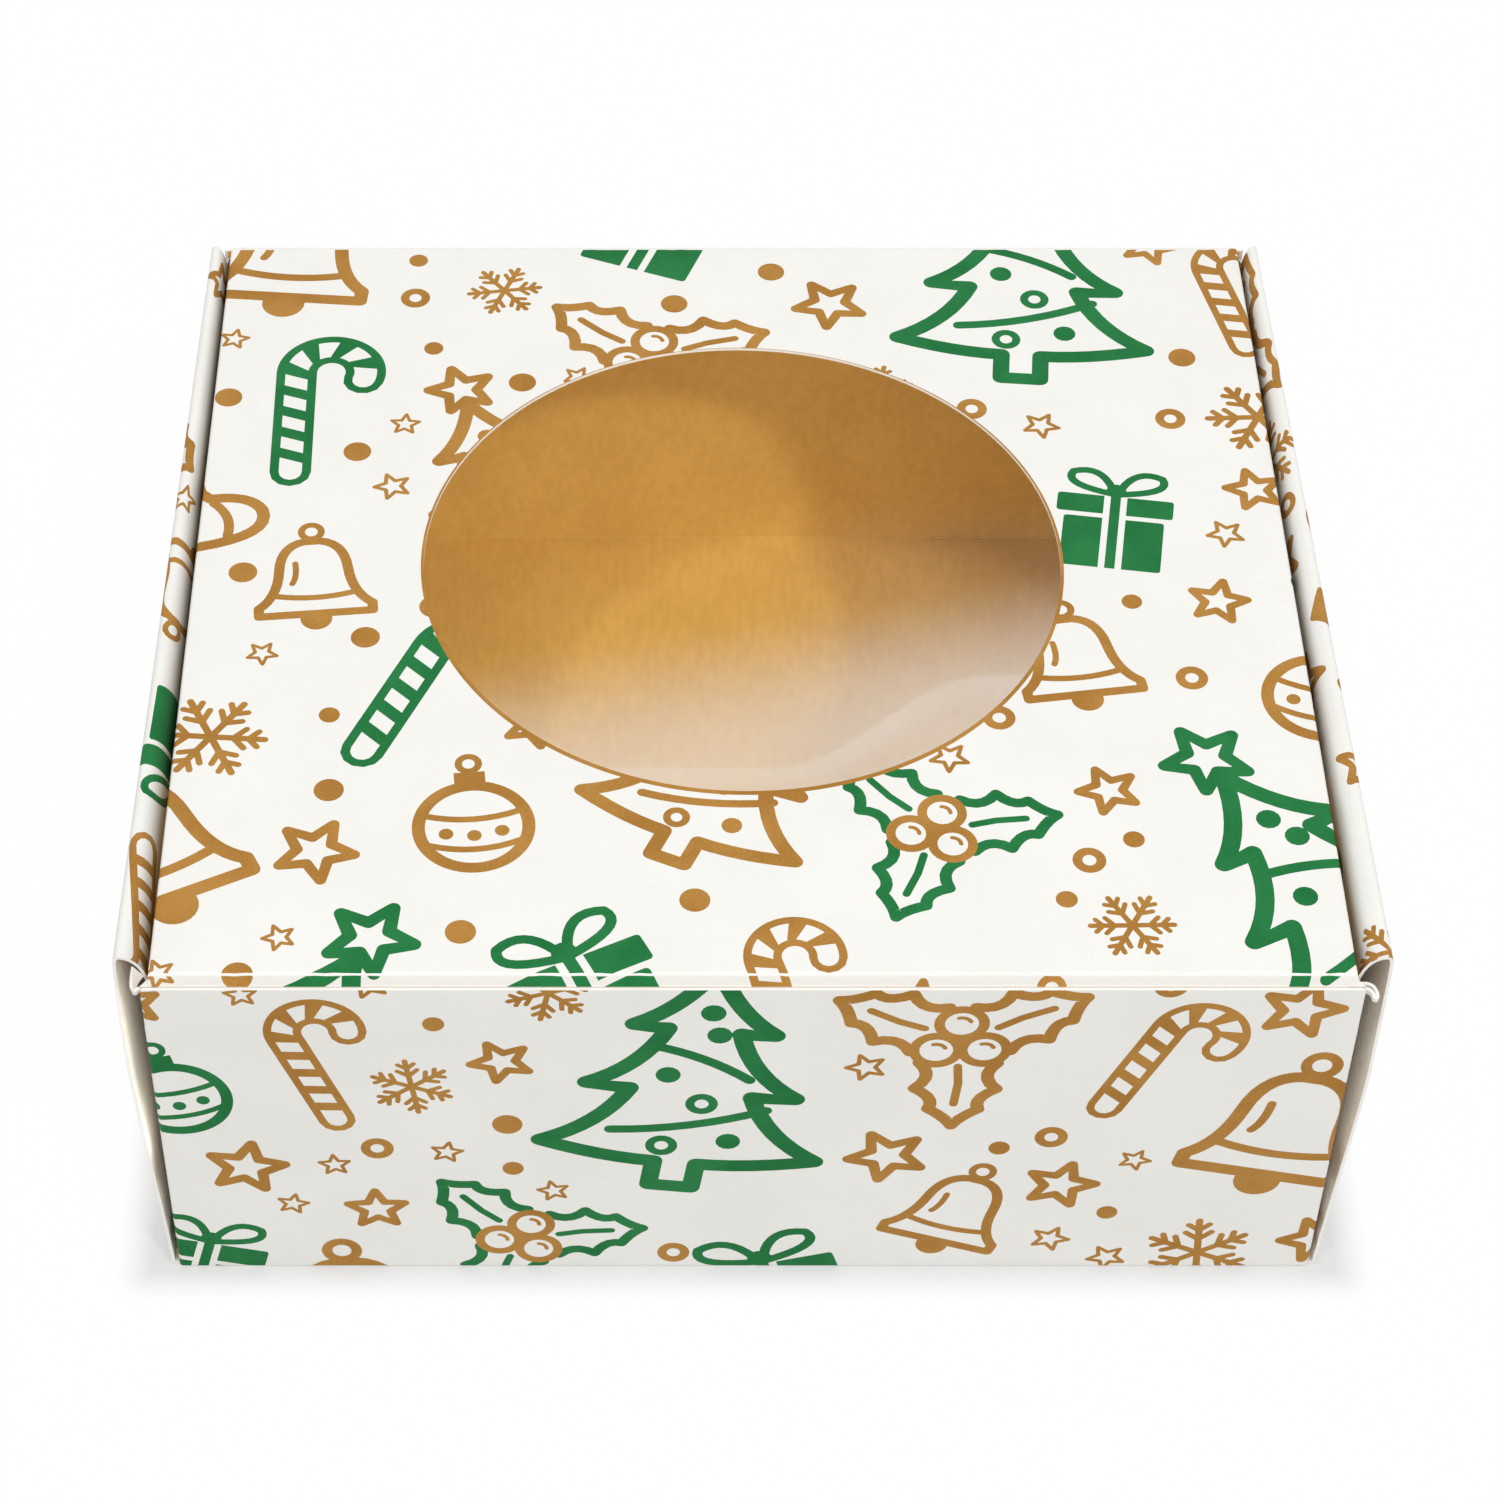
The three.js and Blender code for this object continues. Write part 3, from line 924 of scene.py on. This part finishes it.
def tuck_flap_board(finishes):
    """The flap that tucks in behind the front wall."""
    foot = -flap_turn - flap_length
    corners = [(flap_half, -flap_turn), (-flap_half, -flap_turn), (-flap_half, foot), (flap_half, foot)]
    outline = [(x, flap_blank + z) for x, z in rounded(corners, [0, 0, flap_corner, flap_corner])]

    def place(flat):
        return on_flap(flat[:, 0], np.full(len(flat), flap_face), flat[:, 1] - flap_blank)

    cut = triangulate(outline, shapes=print_shapes)
    make_board("tuck_flap_board", FLAP, cut, place, finishes, ["lid_tuck_flap"])


def lock_ear_boards(finishes):
    """The rounded ears at the ends of the tuck flap, bent back along the inner walls."""
    middle, rise = (ear_high + ear_low) / 2, (ear_high - ear_low) / 2
    angles = np.linspace(-math.pi / 2, math.pi / 2, ear_steps + 1)
    curve = [(ear_reach * math.cos(a), middle + rise * math.sin(a)) for a in angles]
    for side, sign in SIDES:
        outline = [(sign * (ear_face + reach), flap_blank + z) for reach, z in curve]

        def place(flat):
            reach = np.abs(flat[:, 0]) - ear_face
            return on_flap(np.full(len(flat), sign * ear_face), ear_root + reach, flat[:, 1] - flap_blank)

        cut = triangulate(outline, shapes=print_shapes, step=ear_grid_step)
        make_board(f"{side}_lock_ear_board", f"{side}_ear", cut, place, finishes, [f"{side}_lock_ear"])


def corner_fold_boards(finishes):
    """The corners where the tuck flap doubles back past the front wall's ends: one open, one folded shut."""
    root = [(flap_half + corner_play, flap_face), fold_root]
    open_fold = root + bow(fold_root, *open_out, fold_steps)[1:] + arc(*open_tip)
    open_fold += bow(*open_leg, fold_steps)[1:]
    shut_fold = root + bow(fold_root, *shut_out, fold_steps)[1:] + arc(*shut_tip)
    shut_fold += bow(*shut_leg, fold_steps)[1:] + bow(*shut_return, return_steps)[1:]
    shut_fold += [(lid_high[0] + corner_play, shut_return[-1][1])]
    open_end, shut_end = (leg_low, leg_high, leg_lean), (-corner_height, 0.0, 0.0)
    top = -flap_turn
    for (side, sign), points, leg in zip(SIDES, (open_fold, shut_fold), (open_end, shut_end)):
        course = Course(points)
        end, tip = course.run[-1], course.run[int(np.argmin(course.points[:, 1]))]
        low, high, lean = leg
        shape = [(0.0, top), (tip, top), (end, top + high), (end, top + low),
                 (tip, top - corner_tip_height), (0.0, top - corner_height)]
        outline = [(sign * (flap_half + run), z) for run, z in shape]
        bends = [sign * (flap_half + run) for run in course.run[1:-1]]
        ends = (top + leg_high + crease_overrun, top - corner_height - crease_overrun)
        creases = [[(x, z) for z in ends] for x in bends]

        def place(flat):
            run = np.abs(flat[:, 0]) - flap_half
            x, y = course.at(run)
            past = np.clip((run - tip) / (end - tip), 0, 1)
            return on_flap(sign * (x + lean * past * (flat[:, 1] - top - high * past)), y, flat[:, 1])

        cut = triangulate(outline, creases=creases, step=corner_grid_step)
        make_board(f"{side}_corner_fold_board", FLAP, cut, place, finishes, [f"{side}_corner_fold"])


def lid_wing_boards(finishes):
    """The lid's side flaps, which stand inside the rolled walls."""
    top = lid_turned_edge + lid_low[2] - wing_high[2]
    foot = top + wing_high[2] - wing_low[2]
    for side, sign in SIDES:
        corners = [(sign * top, wing_low[1]), (sign * foot, wing_low[1] + wing_taper),
                   (sign * foot, wing_high[1] - wing_taper), (sign * top, wing_high[1])]
        outline = rounded(corners, [0, wing_corner, wing_corner, 0])

        def place(flat):
            z = wing_high[2] - (np.abs(flat[:, 0]) - top)
            return in_box(np.full(len(flat), sign * wing_high[0]), flat[:, 1], z)

        cut = triangulate(outline, shapes=print_shapes)
        make_board(f"{side}_wing_board", f"{side}_wing", cut, place, finishes, [f"{side}_lid_wing"])


def window_film(finishes):
    """Clear film glued under the lid, slack in the opening, with soft ripples."""
    low, high = film_low, film_high
    corners = block(*low[:2], *high[:2])
    radius = window_diameter / 2

    def place(flat):
        x, y = flat[:, 0], flat[:, 1] - window_centre
        free = np.clip(1 - np.hypot(x, y) / radius, 0, 1)
        ripple = sum(rise * np.sin(a * x + b * y + start) for a, b, start, rise in film_waves)
        loose = np.minimum(free * film_grip, 1)
        drop = eased(free) * film_sag + (film_ripple * ripple + film_drop) * loose
        return in_box(x, flat[:, 1], high[2] - drop)

    thickness = high[2] - low[2]
    cut = triangulate(corners, step=(high[0] - low[0]) / film_rows)
    make_board("window_film_sheet", LID, cut, place, finishes, ["window_film"], thickness)


def lay_across(y, z, x):
    """Places of a section that runs on across the box."""
    return in_box(x, y, z)


def lay_along(x, z, y):
    """Places of a section that runs on from front to back."""
    return in_box(x, y, z)


def crease_strip(name, body, section, ends, lay, finishes, turn=1):
    """A narrow strip of board round a fold between two panels; lay puts its section in the box."""
    course = Course(section)
    low, high = sorted(turn * end for end in ends)
    outline = block(0.0, low, course.run[-1], high)
    rims = (low - crease_overrun, high + crease_overrun)
    creases = [[(run, rim) for rim in rims] for run in course.run[1:-1]]

    def place(flat):
        first, second = course.at(flat[:, 0])
        return lay(first, second, turn * flat[:, 1])

    cut = triangulate(outline, creases=creases, step=strip_grid_step)
    make_board(name, body, cut, place, finishes)


def crease_strips(finishes):
    """The creases that join the lid to the tray, its wings and the tuck flap, and the flap to its ears."""
    corner = arc(lid_end, back_high[2], fold_radius, 0, 90, hinge_steps)
    half = lid_high[0] - lid_edge_radius
    crease_strip("lid_hinge_crease", (TRAY, LID, (0, *corner[0]), (0, *corner[-1])), corner,
                 (-half, half), lay_across, finishes)
    flap_top = on_flap(np.zeros(1), np.array([flap_face]), np.array([-flap_turn]))[0]
    foot = (strip_low[1], front_high[2])
    middle = (strip_low[1] - flap_crease_bulge, (foot[1] + flap_top[2]) / 2)
    section = bow(tuple(flap_top[1:]), middle, foot, arc_steps)
    crease_strip("tuck_flap_crease", (FLAP, LID, flap_top, (0, *foot)), section,
                 (-flap_half, flap_half), lay_across, finishes, -1)
    bend = ear_root + board / 2
    for side, sign in SIDES:
        edge = sign * wing_high[0]
        levels = np.linspace(lid_low[2], wing_high[2], wing_crease_steps + 1)
        joined = (LID, f"{side}_wing", (edge, 0, levels[0]), (edge, 0, levels[-1]))
        crease_strip(f"{side}_wing_crease", joined, [(edge, level) for level in levels],
                     (wing_low[1], wing_high[1]), lay_along, finishes, sign)
        turn = [(sign * x, y) for x, y in arc(ear_face - bend, ear_root, bend, -90, 0, arc_steps)]
        root, end = (on_flap(*np.array([[x], [y], [ear_high]]))[0] for x, y in (turn[0], turn[-1]))
        crease_strip(f"{side}_ear_crease", (FLAP, f"{side}_ear", root, end), turn,
                     (ear_low, ear_high), on_flap, finishes, sign)


def bead_tree():
    """Geometry Nodes that sweep a round bead along every line of a mesh."""
    tree = bpy.data.node_groups.new("crease bead", "GeometryNodeTree")
    sockets = {"Lines": "NodeSocketGeometry", "Bead Radius": "NodeSocketFloat",
               "Bead Sides": "NodeSocketInt", "Bead Finish": "NodeSocketMaterial"}
    names = {name: tree.interface.new_socket(name, in_out="INPUT", socket_type=kind).identifier
             for name, kind in sockets.items()}
    tree.interface.new_socket("Beads", in_out="OUTPUT", socket_type="NodeSocketGeometry")
    start, end = tree.nodes.new("NodeGroupInput"), tree.nodes.new("NodeGroupOutput")
    kinds = ("MeshToCurve", "CurveToMesh", "CurvePrimitiveCircle",
             "SetShadeSmooth", "RealizeInstances", "SetMaterial")
    lines, sweep, profile, smooth, real, finish = (tree.nodes.new("GeometryNode" + kind) for kind in kinds)
    sweep.inputs["Fill Caps"].default_value = True
    for source, target in (
        (start.outputs["Lines"], lines.inputs["Mesh"]),
        (start.outputs["Bead Radius"], profile.inputs["Radius"]),
        (start.outputs["Bead Sides"], profile.inputs["Resolution"]),
        (lines.outputs["Curve"], sweep.inputs["Curve"]),
        (profile.outputs["Curve"], sweep.inputs["Profile Curve"]),
        (sweep.outputs["Mesh"], smooth.inputs["Geometry"]),
        (smooth.outputs["Geometry"], real.inputs["Geometry"]),
        (real.outputs["Geometry"], finish.inputs["Geometry"]),
        (start.outputs["Bead Finish"], finish.inputs["Material"]),
        (finish.outputs["Geometry"], end.inputs["Beads"]),
    ):
        tree.links.new(source, target)
    return tree, names


def crease_beads(finish):
    """The ridges that scoring leaves inside the folds of the bottom and of the lid's front."""
    tree, names = bead_tree()
    foot = board + bead_radius / 2
    half = inner_low[0] - 2 * bead_radius
    tray_lines = [(half, front_high[1] + bead_radius / 2, foot), (half, back_low[1] - bead_radius / 2, foot)]
    lid_lines = [(lid_high[0] - 2 * bead_radius, strip_high[1] + bead_radius, lid_low[2])]
    for body, places in ((TRAY, tray_lines), (LID, lid_lines)):
        points = [(sign * x * MM, y * MM, z * MM) for x, y, z in places for sign in (-1, 1)]
        mesh = bpy.data.meshes.new(f"{body}_crease_lines")
        mesh.from_pydata(points, [(2 * k, 2 * k + 1) for k in range(len(places))], [])
        beads = placed(f"{body}_crease_beads", mesh)
        sweep = beads.modifiers.new("crease bead", "NODES")
        sweep.node_group = tree
        sweep[names["Bead Radius"]] = bead_radius * MM
        sweep[names["Bead Sides"]] = bead_sides
        sweep[names["Bead Finish"]] = finish
        swept = bpy.data.meshes.new_from_object(beads.evaluated_get(bpy.context.evaluated_depsgraph_get()))
        beads.modifiers.clear()
        beads.data = swept
        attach(beads, body)


# Finishes

seen_by = ("Camera", "Glossy", "Transmission")
# Painted shade: the tone that darkens the folds beside the lid
fold_shade_tone = (0.22, 0.185, 0.14, 1.0)
# How soft the edges of the painted shade on the lid's front strip are, in millimetres
strip_shade_blur = 0.2


def shade(red, green, blue):
    """A colour given as it shows on a screen, from 0 to 255, in the linear values of a shader."""
    def linear(value):
        level = value / 255
        return level / 12.92 if level <= 0.04045 else ((level + 0.055) / 1.055) ** 2.4
    return (linear(red), linear(green), linear(blue), 1.0)


class Reading:
    """A value in a finish that takes part in sums."""

    def __init__(self, finish, socket):
        self.finish = finish
        self.socket = socket

    def sum_of(self, operation, first, second):
        return self.finish.node("ShaderNodeMath", {"operation": operation}, {0: first, 1: second})

    def __add__(self, other):
        return self.sum_of("ADD", self, other)

    def __sub__(self, other):
        return self.sum_of("SUBTRACT", self, other)

    def __rsub__(self, other):
        return self.sum_of("SUBTRACT", other, self)

    def __mul__(self, other):
        return self.sum_of("MULTIPLY", self, other)

    __radd__ = __add__
    __rmul__ = __mul__


class Finish:
    """A procedural finish: its nodes and the material, or the world, that they end in."""

    def __init__(self, name, store=bpy.data.materials, output="ShaderNodeOutputMaterial"):
        self.owner = store.new(name)
        self.owner.use_nodes = True
        self.tree = self.owner.node_tree
        self.tree.nodes.clear()
        self.output = self.tree.nodes.new(output)

    @functools.cached_property
    def place(self):
        """The place on the object, as a vector in metres."""
        return self.node("ShaderNodeTexCoord", output="Object")

    def node(self, kind, settings=None, inputs=None, output=0):
        """Adds a node of any kind, sets it up, joins its inputs and gives one of its outputs."""
        made = self.tree.nodes.new(kind)
        for key, value in (settings or {}).items():
            setattr(made, key, value)
        for key, value in (inputs or {}).items():
            if isinstance(value, Reading):
                self.tree.links.new(value.socket, made.inputs[key])
            else:
                made.inputs[key].default_value = value
        return Reading(self, made.outputs[output])

    def noise(self, size, detail, stretch=None):
        """Noise with spots of about this size in millimetres."""
        place = self.place
        if stretch:
            place = self.node("ShaderNodeMapping", None, {"Vector": place, "Scale": stretch})
        inputs = {"Vector": place, "Scale": 1 / (size * MM), "Detail": detail}
        return self.node("ShaderNodeTexNoise", None, inputs)

    def steps(self, value, low, high):
        """0 below low, 1 above high and a smooth rise between."""
        return self.node("ShaderNodeMapRange", {"interpolation_type": "SMOOTHSTEP"},
                         {"Value": value, "From Min": low, "From Max": high})

    def axes(self):
        """The place on the object along each axis, in metres."""
        split = self.node("ShaderNodeSeparateXYZ", None, {0: self.place}).socket.node
        return [Reading(self, socket) for socket in split.outputs]

    def mix(self, share, first, second, blend="MIX"):
        settings = {"data_type": "RGBA", "blend_type": blend}
        return self.node("ShaderNodeMix", settings, {0: share, 6: first, 7: second}, output=2)

    def vector(self, operation, first, second=(0, 0, 0), output="Vector"):
        settings = {"operation": operation}
        return self.node("ShaderNodeVectorMath", settings, {0: first, 1: second}, output)

    def with_fold_shade(self, colour):
        """The colour with painted shade, darker where a printed face dips into the fold beside the lid."""
        deep = self.node("ShaderNodeAttribute", {"attribute_name": "fold_shade_share"}, output="Fac")
        return self.mix(deep, colour, fold_shade_tone, "MULTIPLY")

    def bump(self, height, strength, depth):
        inputs = {"Height": height, "Strength": strength, "Distance": depth * MM}
        return self.node("ShaderNodeBump", None, inputs)

    def seen(self):
        """1 for what the camera sees, straight on, mirrored or through glass, and 0 for other light."""
        rays = self.node("ShaderNodeLightPath").socket.node.outputs
        straight, reflected, through = (Reading(self, rays[f"Is {kind} Ray"]) for kind in seen_by)
        total = straight + reflected + through
        return self.node("ShaderNodeMath", {"operation": "MINIMUM"}, {0: total, 1: 1.0})

    def tones(self, value, spread, deep, light):
        """A colour between two tones, where the value lies within the spread about its middle."""
        return self.mix(self.steps(value, 0.5 - spread, 0.5 + spread), deep, light)

    def surface(self, colour, grain, sheen, roughness, relief):
        """Ends the finish: roughness is the least and what the grain adds, relief its strength and depth."""
        rough, rougher = roughness
        sockets = {"Base Color": colour, "Specular IOR Level": sheen, "Roughness": rough + rougher * grain,
                   "Normal": self.bump(grain, *relief)}
        return self.end(self.node("ShaderNodeBsdfPrincipled", None, sockets))

    def end(self, shader):
        self.tree.links.new(shader.socket, self.output.inputs["Surface"])
        return self.owner


def coated_white():
    """Clay-coated white board with a satin sheen, faintly mottled, with painted shade greying the lid's
    front strip and darkening the folds beside the lid.
    """
    finish = Finish("coated white board")
    cloud, grain = finish.noise(14, 3), finish.noise(0.45, 3)
    tone = cloud * 0.6 + grain * 0.4
    colour = finish.tones(tone, 0.15, shade(244, 243, 238), shade(248, 247, 243))
    # Painted shade: the lid's sloping front strip is greyed as shade on that facet, a little unevenly with
    # the cloud
    _, along, up = finish.axes()
    low, high, level = strip_low[1], strip_high[1], front_high[2]
    strip = finish.steps(along, low * MM, (low + strip_shade_blur) * MM)
    strip = strip * finish.steps(along, (high + strip_shade_blur / 2) * MM, (high - strip_shade_blur) * MM)
    strip = strip * finish.steps(up, (level - 2 * strip_shade_blur) * MM, level * MM)
    colour = finish.mix(strip * (0.3 + 0.3 * cloud), colour, shade(222, 218, 211))
    # Painted shade in the folds beside the lid
    colour = finish.with_fold_shade(colour)
    return finish.surface(colour, grain, sheen=0.28, roughness=(0.42, 0.18), relief=(0.10, 0.02))


def printed_ink(name, deep, light):
    """Offset ink on the coated board, a little uneven in strength, with the board's grain under it."""
    finish = Finish(name)
    cloud, grain = finish.noise(9, 3), finish.noise(0.35, 3)
    tone = cloud * 0.62 + grain * 0.38
    # Painted shade: the ink darkens into the fold beside the lid
    colour = finish.with_fold_shade(finish.tones(tone, 0.14, deep, light))
    return finish.surface(colour, grain, sheen=0.12, roughness=(0.46, 0.2), relief=(0.10, 0.02))


def gold_liner():
    """The golden-brown inside of the tray: a smooth tinted liner with short fibres."""
    finish = Finish("golden liner")
    cloud, fibre = finish.noise(18, 3), finish.noise(1.1, 4, (1.0, 0.3, 0.6))
    tone = cloud * 0.5 + fibre * 0.5
    colour = finish.tones(tone, 0.17, shade(226, 183, 97), shade(238, 196, 108))
    return finish.surface(colour, fibre, sheen=0.3, roughness=(0.5, 0.15), relief=(0.12, 0.03))


def uncoated_back():
    """The uncoated back of the board: warm grey-white pulp with darker flecks."""
    finish = Finish("uncoated board back")
    cloud, speck = finish.noise(10, 3), finish.noise(0.6, 2)
    fibre = finish.noise(0.8, 4, (1.0, 0.35, 0.7))
    tone = cloud * 0.4 + fibre * 0.6
    colour = finish.tones(tone, 0.18, shade(238, 229, 215), shade(247, 240, 230))
    colour = finish.mix(0.5 * finish.steps(speck, 0.66, 0.74), colour, shade(176, 160, 138))
    return finish.surface(colour, fibre, sheen=0.25, roughness=(0.72, 0.16), relief=(0.25, 0.04))


def cut_edge():
    """The die-cut edge of the board, where the cream pulp shows between its faces."""
    finish = Finish("cut board edge")
    fibre = finish.noise(0.3, 4, (1.0, 1.0, 2.2))
    colour = finish.tones(fibre, 0.2, shade(248, 245, 239), shade(253, 251, 247))
    return finish.surface(colour, fibre, sheen=0.25, roughness=(0.75, 0.15), relief=(0.15, 0.03))


# Gloss of the film, with painted reflection placed by position: its shares, and where the glare, its
# brighter corner and its brighter streak lie, in metres from the middle of the box, each from where it
# starts to where it is full
film_tint = (0.985, 0.985, 0.98, 1.0)
face_gloss, rim_gloss = 0.003, 0.3
painted_glare_gloss, painted_glare_rise = 0.215, (-0.006, -0.036)
painted_glare_slant = 0.23
painted_corner_gloss, painted_corner_veil = 0.03, 0.018
painted_corner_across, painted_corner_along = (0.0, 0.03), (0.022, 0.0)
painted_streak_gloss, painted_streak_shift, painted_streak_across = 0.07, 0.018, (0.004, 0.034)
painted_streak_back, painted_streak_front = (-0.0362, -0.0374), (-0.044, -0.038)
film_rim = (window_diameter / 2 + 0.6, window_diameter / 2 - 0.2)


def clear_film():
    """Thin clear polyester whose gloss rises by position as painted reflection: a soft glare that grows to
    the front, a brighter corner at the front right and one curved brighter streak.
    """
    finish = Finish("clear window film")
    smear = finish.noise(22, 2)
    across, along, _ = finish.axes()
    # Painted reflection: the gloss share rises toward the front, at the front right corner and along one
    # curved streak, placed by position on the film
    painted_corner_glare = finish.steps(across, *painted_corner_across) * finish.steps(along, *painted_corner_along)
    glare = (painted_glare_gloss + painted_corner_gloss * painted_corner_glare) * finish.steps(along - painted_glare_slant * across, *painted_glare_rise)
    glare = glare + painted_corner_veil * painted_corner_glare
    bent = along - painted_streak_shift * finish.steps(across, *painted_streak_across)
    painted_streak = finish.steps(bent, *painted_streak_back) * finish.steps(bent, *painted_streak_front)
    middle = (0.0, window_centre * MM, film_high[2] * MM)
    away = finish.vector("DISTANCE", finish.place, middle, "Value")
    open_film = finish.steps(away, *(reach * MM for reach in film_rim))
    clear = finish.node("ShaderNodeBsdfTransparent", None, {"Color": film_tint})
    gloss = finish.node("ShaderNodeBsdfGlossy", None, {"Color": WHITE, "Roughness": 0.10 + 0.05 * smear})
    facing = finish.node("ShaderNodeLayerWeight", None, {"Blend": 0.5}, output="Facing")
    square = facing * facing
    # The rim and face gloss are the film's own; the shares in the open film are painted reflection
    share = face_gloss + rim_gloss * square * square * facing + open_film * (glare + painted_streak_gloss * painted_streak)
    return finish.end(finish.node("ShaderNodeMixShader", None, {0: share, 1: clear, 2: gloss}))


# Making of the pieces

white, edge = coated_white(), cut_edge()
gold_ink = printed_ink("golden ink", shade(170, 120, 52), shade(188, 138, 68))
green_ink = printed_ink("green ink", shade(26, 112, 58), shade(40, 126, 70))
back = uncoated_back()
liner = gold_liner()
lined = (white, gold_ink, green_ink, liner, edge, back)
plain_back = (white, gold_ink, green_ink, back, edge)

bottom_board(lined)
end_walls(lined)
side_boards(plain_back)
lid_board(plain_back)
tuck_flap_board(plain_back)
lock_ear_boards(plain_back)
corner_fold_boards(plain_back)
lid_wing_boards(plain_back)
crease_strips(plain_back)
crease_beads(liner)
window_film((clear_film(),) * 5)


# Studio

# Lamps in metres: place, size and brightness; the camera does not see the small ones in the box
ambient = 0.59
lamp_target = (0, 0, 0.06)
lamp_colour = (1.0, 0.985, 0.96)
studio_lamps = {
    "left_lamp": ((-0.57, -0.78, 2.0), (0.16, 0.16), 60.0),
    "upper_lamp": ((-0.2, -0.78, 2.0), (0.8, 0.16), 15.0),
    "right_lamp": ((0.70, -1.13, 1.56), (0.16, 0.16), 138.0),
}
inside_lamp, inside_target = (-0.008, -0.062, 0.046), (-0.008, 0.055, 0.0)
inside_size, inside_brightness = (0.12, 0.03), 2.0
hollow_lamp, hollow_size = (0.0813, -0.0744, 0.042), (0.003, 0.036)
hollow_brightness = {"left": 1.6, "right": 0.22}

# Floor in metres: how far it reaches, how much of it glows close to the box and away from it
floor_reach = 6.0
floor_drop = 0.0001
floor_matte = (0.6, 0.6, 0.595, 1.0)
floor_near, floor_far = 0.3, 0.99
floor_shadow = (-0.003, 0.006)


def studio_floor():
    """A wide white floor that keeps a faint shadow round the box."""
    finish = Finish("studio floor")
    matte = finish.node("ShaderNodeBsdfDiffuse", None, {"Color": floor_matte})
    glow = finish.node("ShaderNodeEmission", None, {"Color": WHITE, "Strength": 1.0})
    half = Vector((cad_high.x, (cad_high.y - cad_low.y) / 2, 0))
    away = finish.vector("SUBTRACT", finish.vector("ABSOLUTE", finish.place), half)
    away = finish.vector("LENGTH", finish.vector("MAXIMUM", away), output="Value")
    bright = floor_near + (floor_far - floor_near) * finish.steps(away, *floor_shadow)
    share = finish.seen() * bright
    mesh = bpy.data.meshes.new("studio_floor")
    corners = [(x, y, 0) for x, y in block(-floor_reach, -floor_reach, floor_reach, floor_reach)]
    mesh.from_pydata(corners, [], [(0, 1, 2, 3)])
    mixed = finish.node("ShaderNodeMixShader", None, {0: share, 1: matte, 2: glow})
    mesh.materials.append(finish.end(mixed))
    floor = placed("studio_floor", mesh)
    floor.location.z = -floor_drop


def lamp(name, place, target, size, brightness, colour=(1, 1, 1)):
    """A soft box: a lit rectangle of a given brightness that faces the target."""
    light = bpy.data.lights.new(name, "AREA")
    light.shape = "RECTANGLE"
    light.size, light.size_y = size
    light.energy = brightness * math.pi * size[0] * size[1]
    light.color = colour
    holder = placed(name, light)
    holder.location = place
    holder.rotation_euler = (Vector(target) - Vector(place)).to_track_quat("-Z", "Y").to_euler()
    return holder


def studio_air():
    """Even light from all round, and white where the camera or a mirror sees past the floor."""
    air = Finish("studio air", bpy.data.worlds, "ShaderNodeOutputWorld")
    strength = ambient + (1.0 - ambient) * air.seen()
    light = air.node("ShaderNodeBackground", None, {"Color": WHITE, "Strength": strength})
    bpy.context.scene.world = air.end(light)


def studio_lights():
    """The lamps over the box, and small ones in it for the light that its own walls throw about."""
    for name, (place, size, brightness) in studio_lamps.items():
        lamp(name, place, lamp_target, size, brightness, lamp_colour)
    small = [lamp("inside_lamp", inside_lamp, inside_target, inside_size, inside_brightness)]
    x, y, z = hollow_lamp
    for side, sign in SIDES:
        place, target = (sign * x, y, z), (2 * sign * x, y, z)
        small.append(lamp(f"{side}_hollow_lamp", place, target, hollow_size, hollow_brightness[side]))
    for holder in small:
        holder.visible_camera = False


# Camera, fitted to the edges of the box in a frame of 1500 x 1500
frame_side = 1500
focal_length = 3808.69
axis_column = 641.45
sensor = 36.0
camera_place = np.array([-14.70, -397.11, 449.73]) * MM
camera_pitch = math.radians(46.744)
camera_range = (0.01, 50)


def studio_camera():
    """A level camera that looks down on the box, with the sideways shift of a cropped frame."""
    lens = bpy.data.cameras.new("studio_camera")
    lens.sensor_width = sensor
    lens.lens = focal_length / frame_side * sensor
    lens.shift_x = 0.5 - axis_column / frame_side
    lens.clip_start, lens.clip_end = camera_range
    camera = placed("studio_camera", lens)
    camera.location = camera_place
    camera.rotation_euler = (math.pi / 2 - camera_pitch, 0, 0)
    bpy.context.scene.camera = camera


studio_floor()
studio_air()
studio_lights()
studio_camera()
bpy.context.scene.view_settings.view_transform = "Standard"
